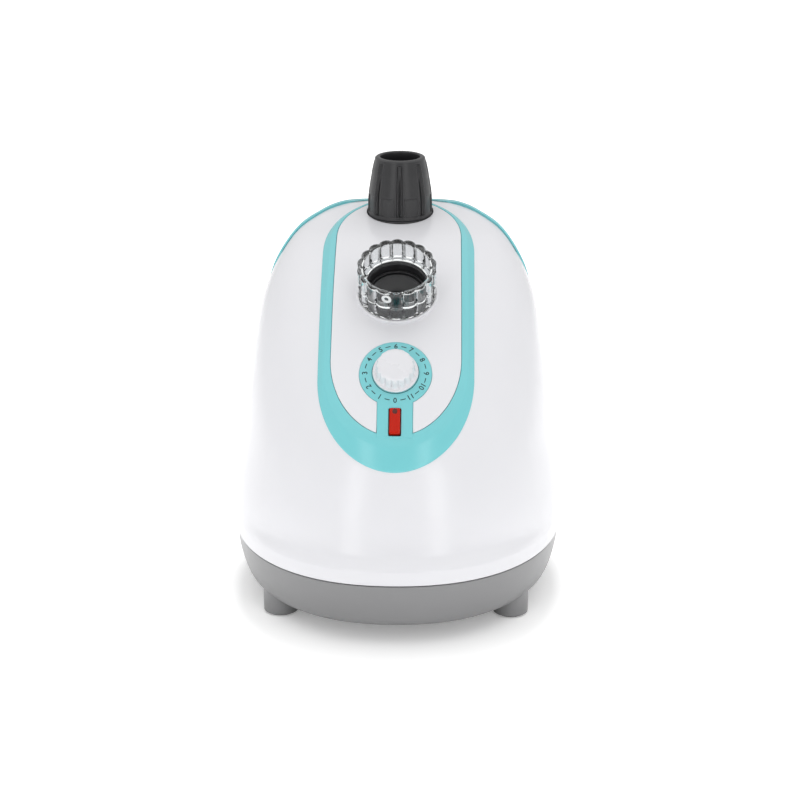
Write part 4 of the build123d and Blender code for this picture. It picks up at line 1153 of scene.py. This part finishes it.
# Small round end of the lamp as seen through the lens, made as a thin dark dot on its face
lens_dark = even_material("lens_dark", (0.10, 0.008, 0.005), 0.2)
LAMP_END_UP = 6.9  # from the lens's middle up to the lamp's end
dot_turn = np.linspace(0, 2 * math.pi, 28, endpoint=False)
dots = []
for r, h in ((1.9, 1.80), (1.9, 1.99), (1.0, 2.02), (0.01, 2.03)):
    dot_across = (r * 0.95 * np.cos(dot_turn))[:, None] * ACROSS
    dot_along = (LAMP_END_UP + r * 1.05 * np.sin(dot_turn))[:, None] * lamp_up
    dots.append(LAMP_CENTRE + dot_across + dot_along + h * LAMP_AXIS)
make_piece("lens_lamp_end", *ring_stack(dots), lens_dark, "base", slot="lens_red")


# ------------------------------------------------------------------ inner works and fixings
# Cast boiler, silicone hoses, switch and the rest keep their CAD shapes and get their metals,
# rubbers and ceramics here; most show only when the tank is off or from below.
silicone = plastic("silicone_hose", (0.60, 0.57, 0.52), 0.5, grain=0.08)
ceramic = plastic("ceramic_white", (0.66, 0.65, 0.60), 0.55, grain=0.1)
aluminium = even_material("aluminium_cast", (0.60, 0.60, 0.61), 0.5, metallic=1.0)
brass = even_material("brass_turned", (0.70, 0.52, 0.22), 0.3, metallic=1.0)
lamp_glass = even_material("lamp_glass", (0.9, 0.6, 0.4), 0.1)
finish_nodes(zinc, "boiler_screws", "heating_element", "fuse_clip")
finish_nodes(zinc, "hose_clamps", "switch_nut", "valve_spring")
finish_nodes(silicone, "steam_hose", "feed_hose", "boiler_gasket", "valve_seal")
finish_nodes(ceramic, "boiler_stands", "thermostat", "terminal_block", "lamp_clip")
finish_nodes(aluminium, "boiler_pan", "boiler_cover", "thermal_fuse")
finish_nodes(brass, "switch_shaft")
finish_nodes(lamp_glass, "neon_lamp")
finish_nodes(dark_nylon, "switch_body", "outlet_nut", "drain_plug", "tank_cap")
finish_nodes(rubber, "cord_gland", "drain_seal")
finish_nodes(bay_grey, "valve_stem", "spring_cage")


# ------------------------------------------------------------------ floor, lights and camera
# A plain white floor in a white room that is dimmer behind the camera, a tall soft light on
# each side of the camera, and a lamp behind that lights the floor alone.
floor_white = bpy.data.materials.new("floor_white")
floor_white.use_nodes = True
floor_shader = floor_white.node_tree.nodes["Principled BSDF"]
floor_shader.inputs["Base Color"].default_value = (0.95, 0.95, 0.95, 1)
floor_shader.inputs["Roughness"].default_value = 0.9
floor_shader.inputs["Specular IOR Level"].default_value = 0.0
floor_shader.inputs["Emission Color"].default_value = (1, 1, 1, 1)
seen = floor_white.node_tree.nodes.new("ShaderNodeLightPath")
paper = floor_white.node_tree.nodes.new("ShaderNodeMath")
paper.operation = "MULTIPLY"
paper.inputs[1].default_value = 0.23  # lifts the floor to white where it's seen, and lights nothing
floor_white.node_tree.links.new(seen.outputs["Is Camera Ray"], paper.inputs[0])
floor_white.node_tree.links.new(paper.outputs["Value"], floor_shader.inputs["Emission Strength"])
bpy.ops.mesh.primitive_plane_add(size=12, location=(0, 2.0, 0))
floor = bpy.context.object
floor.name = "studio_floor"
floor.data.materials.append(floor_white)
floor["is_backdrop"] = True

world = bpy.data.worlds.new("studio")
bpy.context.scene.world = world
world.use_nodes = True
tree = world.node_tree
place = tree.nodes.new("ShaderNodeTexCoord")
parts = tree.nodes.new("ShaderNodeSeparateXYZ")
tree.links.new(place.outputs["Generated"], parts.inputs[0])
aside = tree.nodes.new("ShaderNodeMath")
aside.operation = "ABSOLUTE"
tree.links.new(parts.outputs["X"], aside.inputs[0])
total = None
for source, (low_at, high_at), (low, high) in (
    (parts.outputs["Y"], (-1.0, 0.2), (0.36, 0.60)),
    (aside.outputs[0], (0.15, 0.95), (0.0, 0.12)),
    (parts.outputs["Z"], (0.3, 1.0), (0.0, 0.62)),
):
    span = tree.nodes.new("ShaderNodeMapRange")
    span.interpolation_type = "SMOOTHSTEP"
    span.inputs["From Min"].default_value, span.inputs["From Max"].default_value = low_at, high_at
    span.inputs["To Min"].default_value, span.inputs["To Max"].default_value = low, high
    tree.links.new(source, span.inputs["Value"])
    if total is None:
        total = span.outputs["Result"]
    else:
        add = tree.nodes.new("ShaderNodeMath")
        tree.links.new(total, add.inputs[0])
        tree.links.new(span.outputs["Result"], add.inputs[1])
        total = add.outputs[0]
tree.links.new(total, tree.nodes["Background"].inputs["Strength"])
tree.nodes["Background"].inputs["Color"].default_value = (1.0, 1.0, 1.0, 1)


def soft_light(name, location, target, width, height, power):
    data = bpy.data.lights.new(name, "AREA")
    data.shape, data.size, data.size_y, data.energy = "RECTANGLE", width, height, power
    lamp = bpy.data.objects.new(name, data)
    bpy.context.collection.objects.link(lamp)
    lamp.location = location
    lamp.rotation_euler = (Vector(target) - Vector(location)).to_track_quat("-Z", "Y").to_euler()
    lamp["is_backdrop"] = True
    return lamp


for name, side in (("left_strip", -1), ("right_strip", 1)):
    soft_light(name, (side * 1.32, -2.70, 1.0), (0, 0, 0.3), 0.7, 2.0, 8.0)
floor_light = soft_light("floor_light", (0.0, 0.75, 1.5), (0, -0.1, 0.0), 0.6, 0.4, 15.0)
floor_only = bpy.data.collections.new("floor_only")
floor_only.objects.link(floor)
floor_light.light_linking.receiver_collection = floor_only

camera_data = bpy.data.cameras.new("camera")
camera_data.sensor_width = 36.0
camera_data.lens = 123.3
camera = bpy.data.objects.new("camera", camera_data)
bpy.context.collection.objects.link(camera)
aim = Vector((0.0023, -0.0328, 0.150))
camera_elevation, camera_azimuth, camera_distance = math.radians(18.4), math.radians(1.15), 2.0
camera.location = aim + camera_distance * Vector(
    (
        math.sin(camera_azimuth) * math.cos(camera_elevation),
        -math.cos(camera_azimuth) * math.cos(camera_elevation),
        math.sin(camera_elevation),
    )
)
camera.rotation_euler = (aim - camera.location).to_track_quat("-Z", "Y").to_euler()
bpy.context.scene.camera = camera
bpy.context.scene.view_settings.view_transform = "Standard"

# ------------------------------------------------------------------ sizes
# The box round everything shown in the render, the floor left out.
low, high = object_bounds()
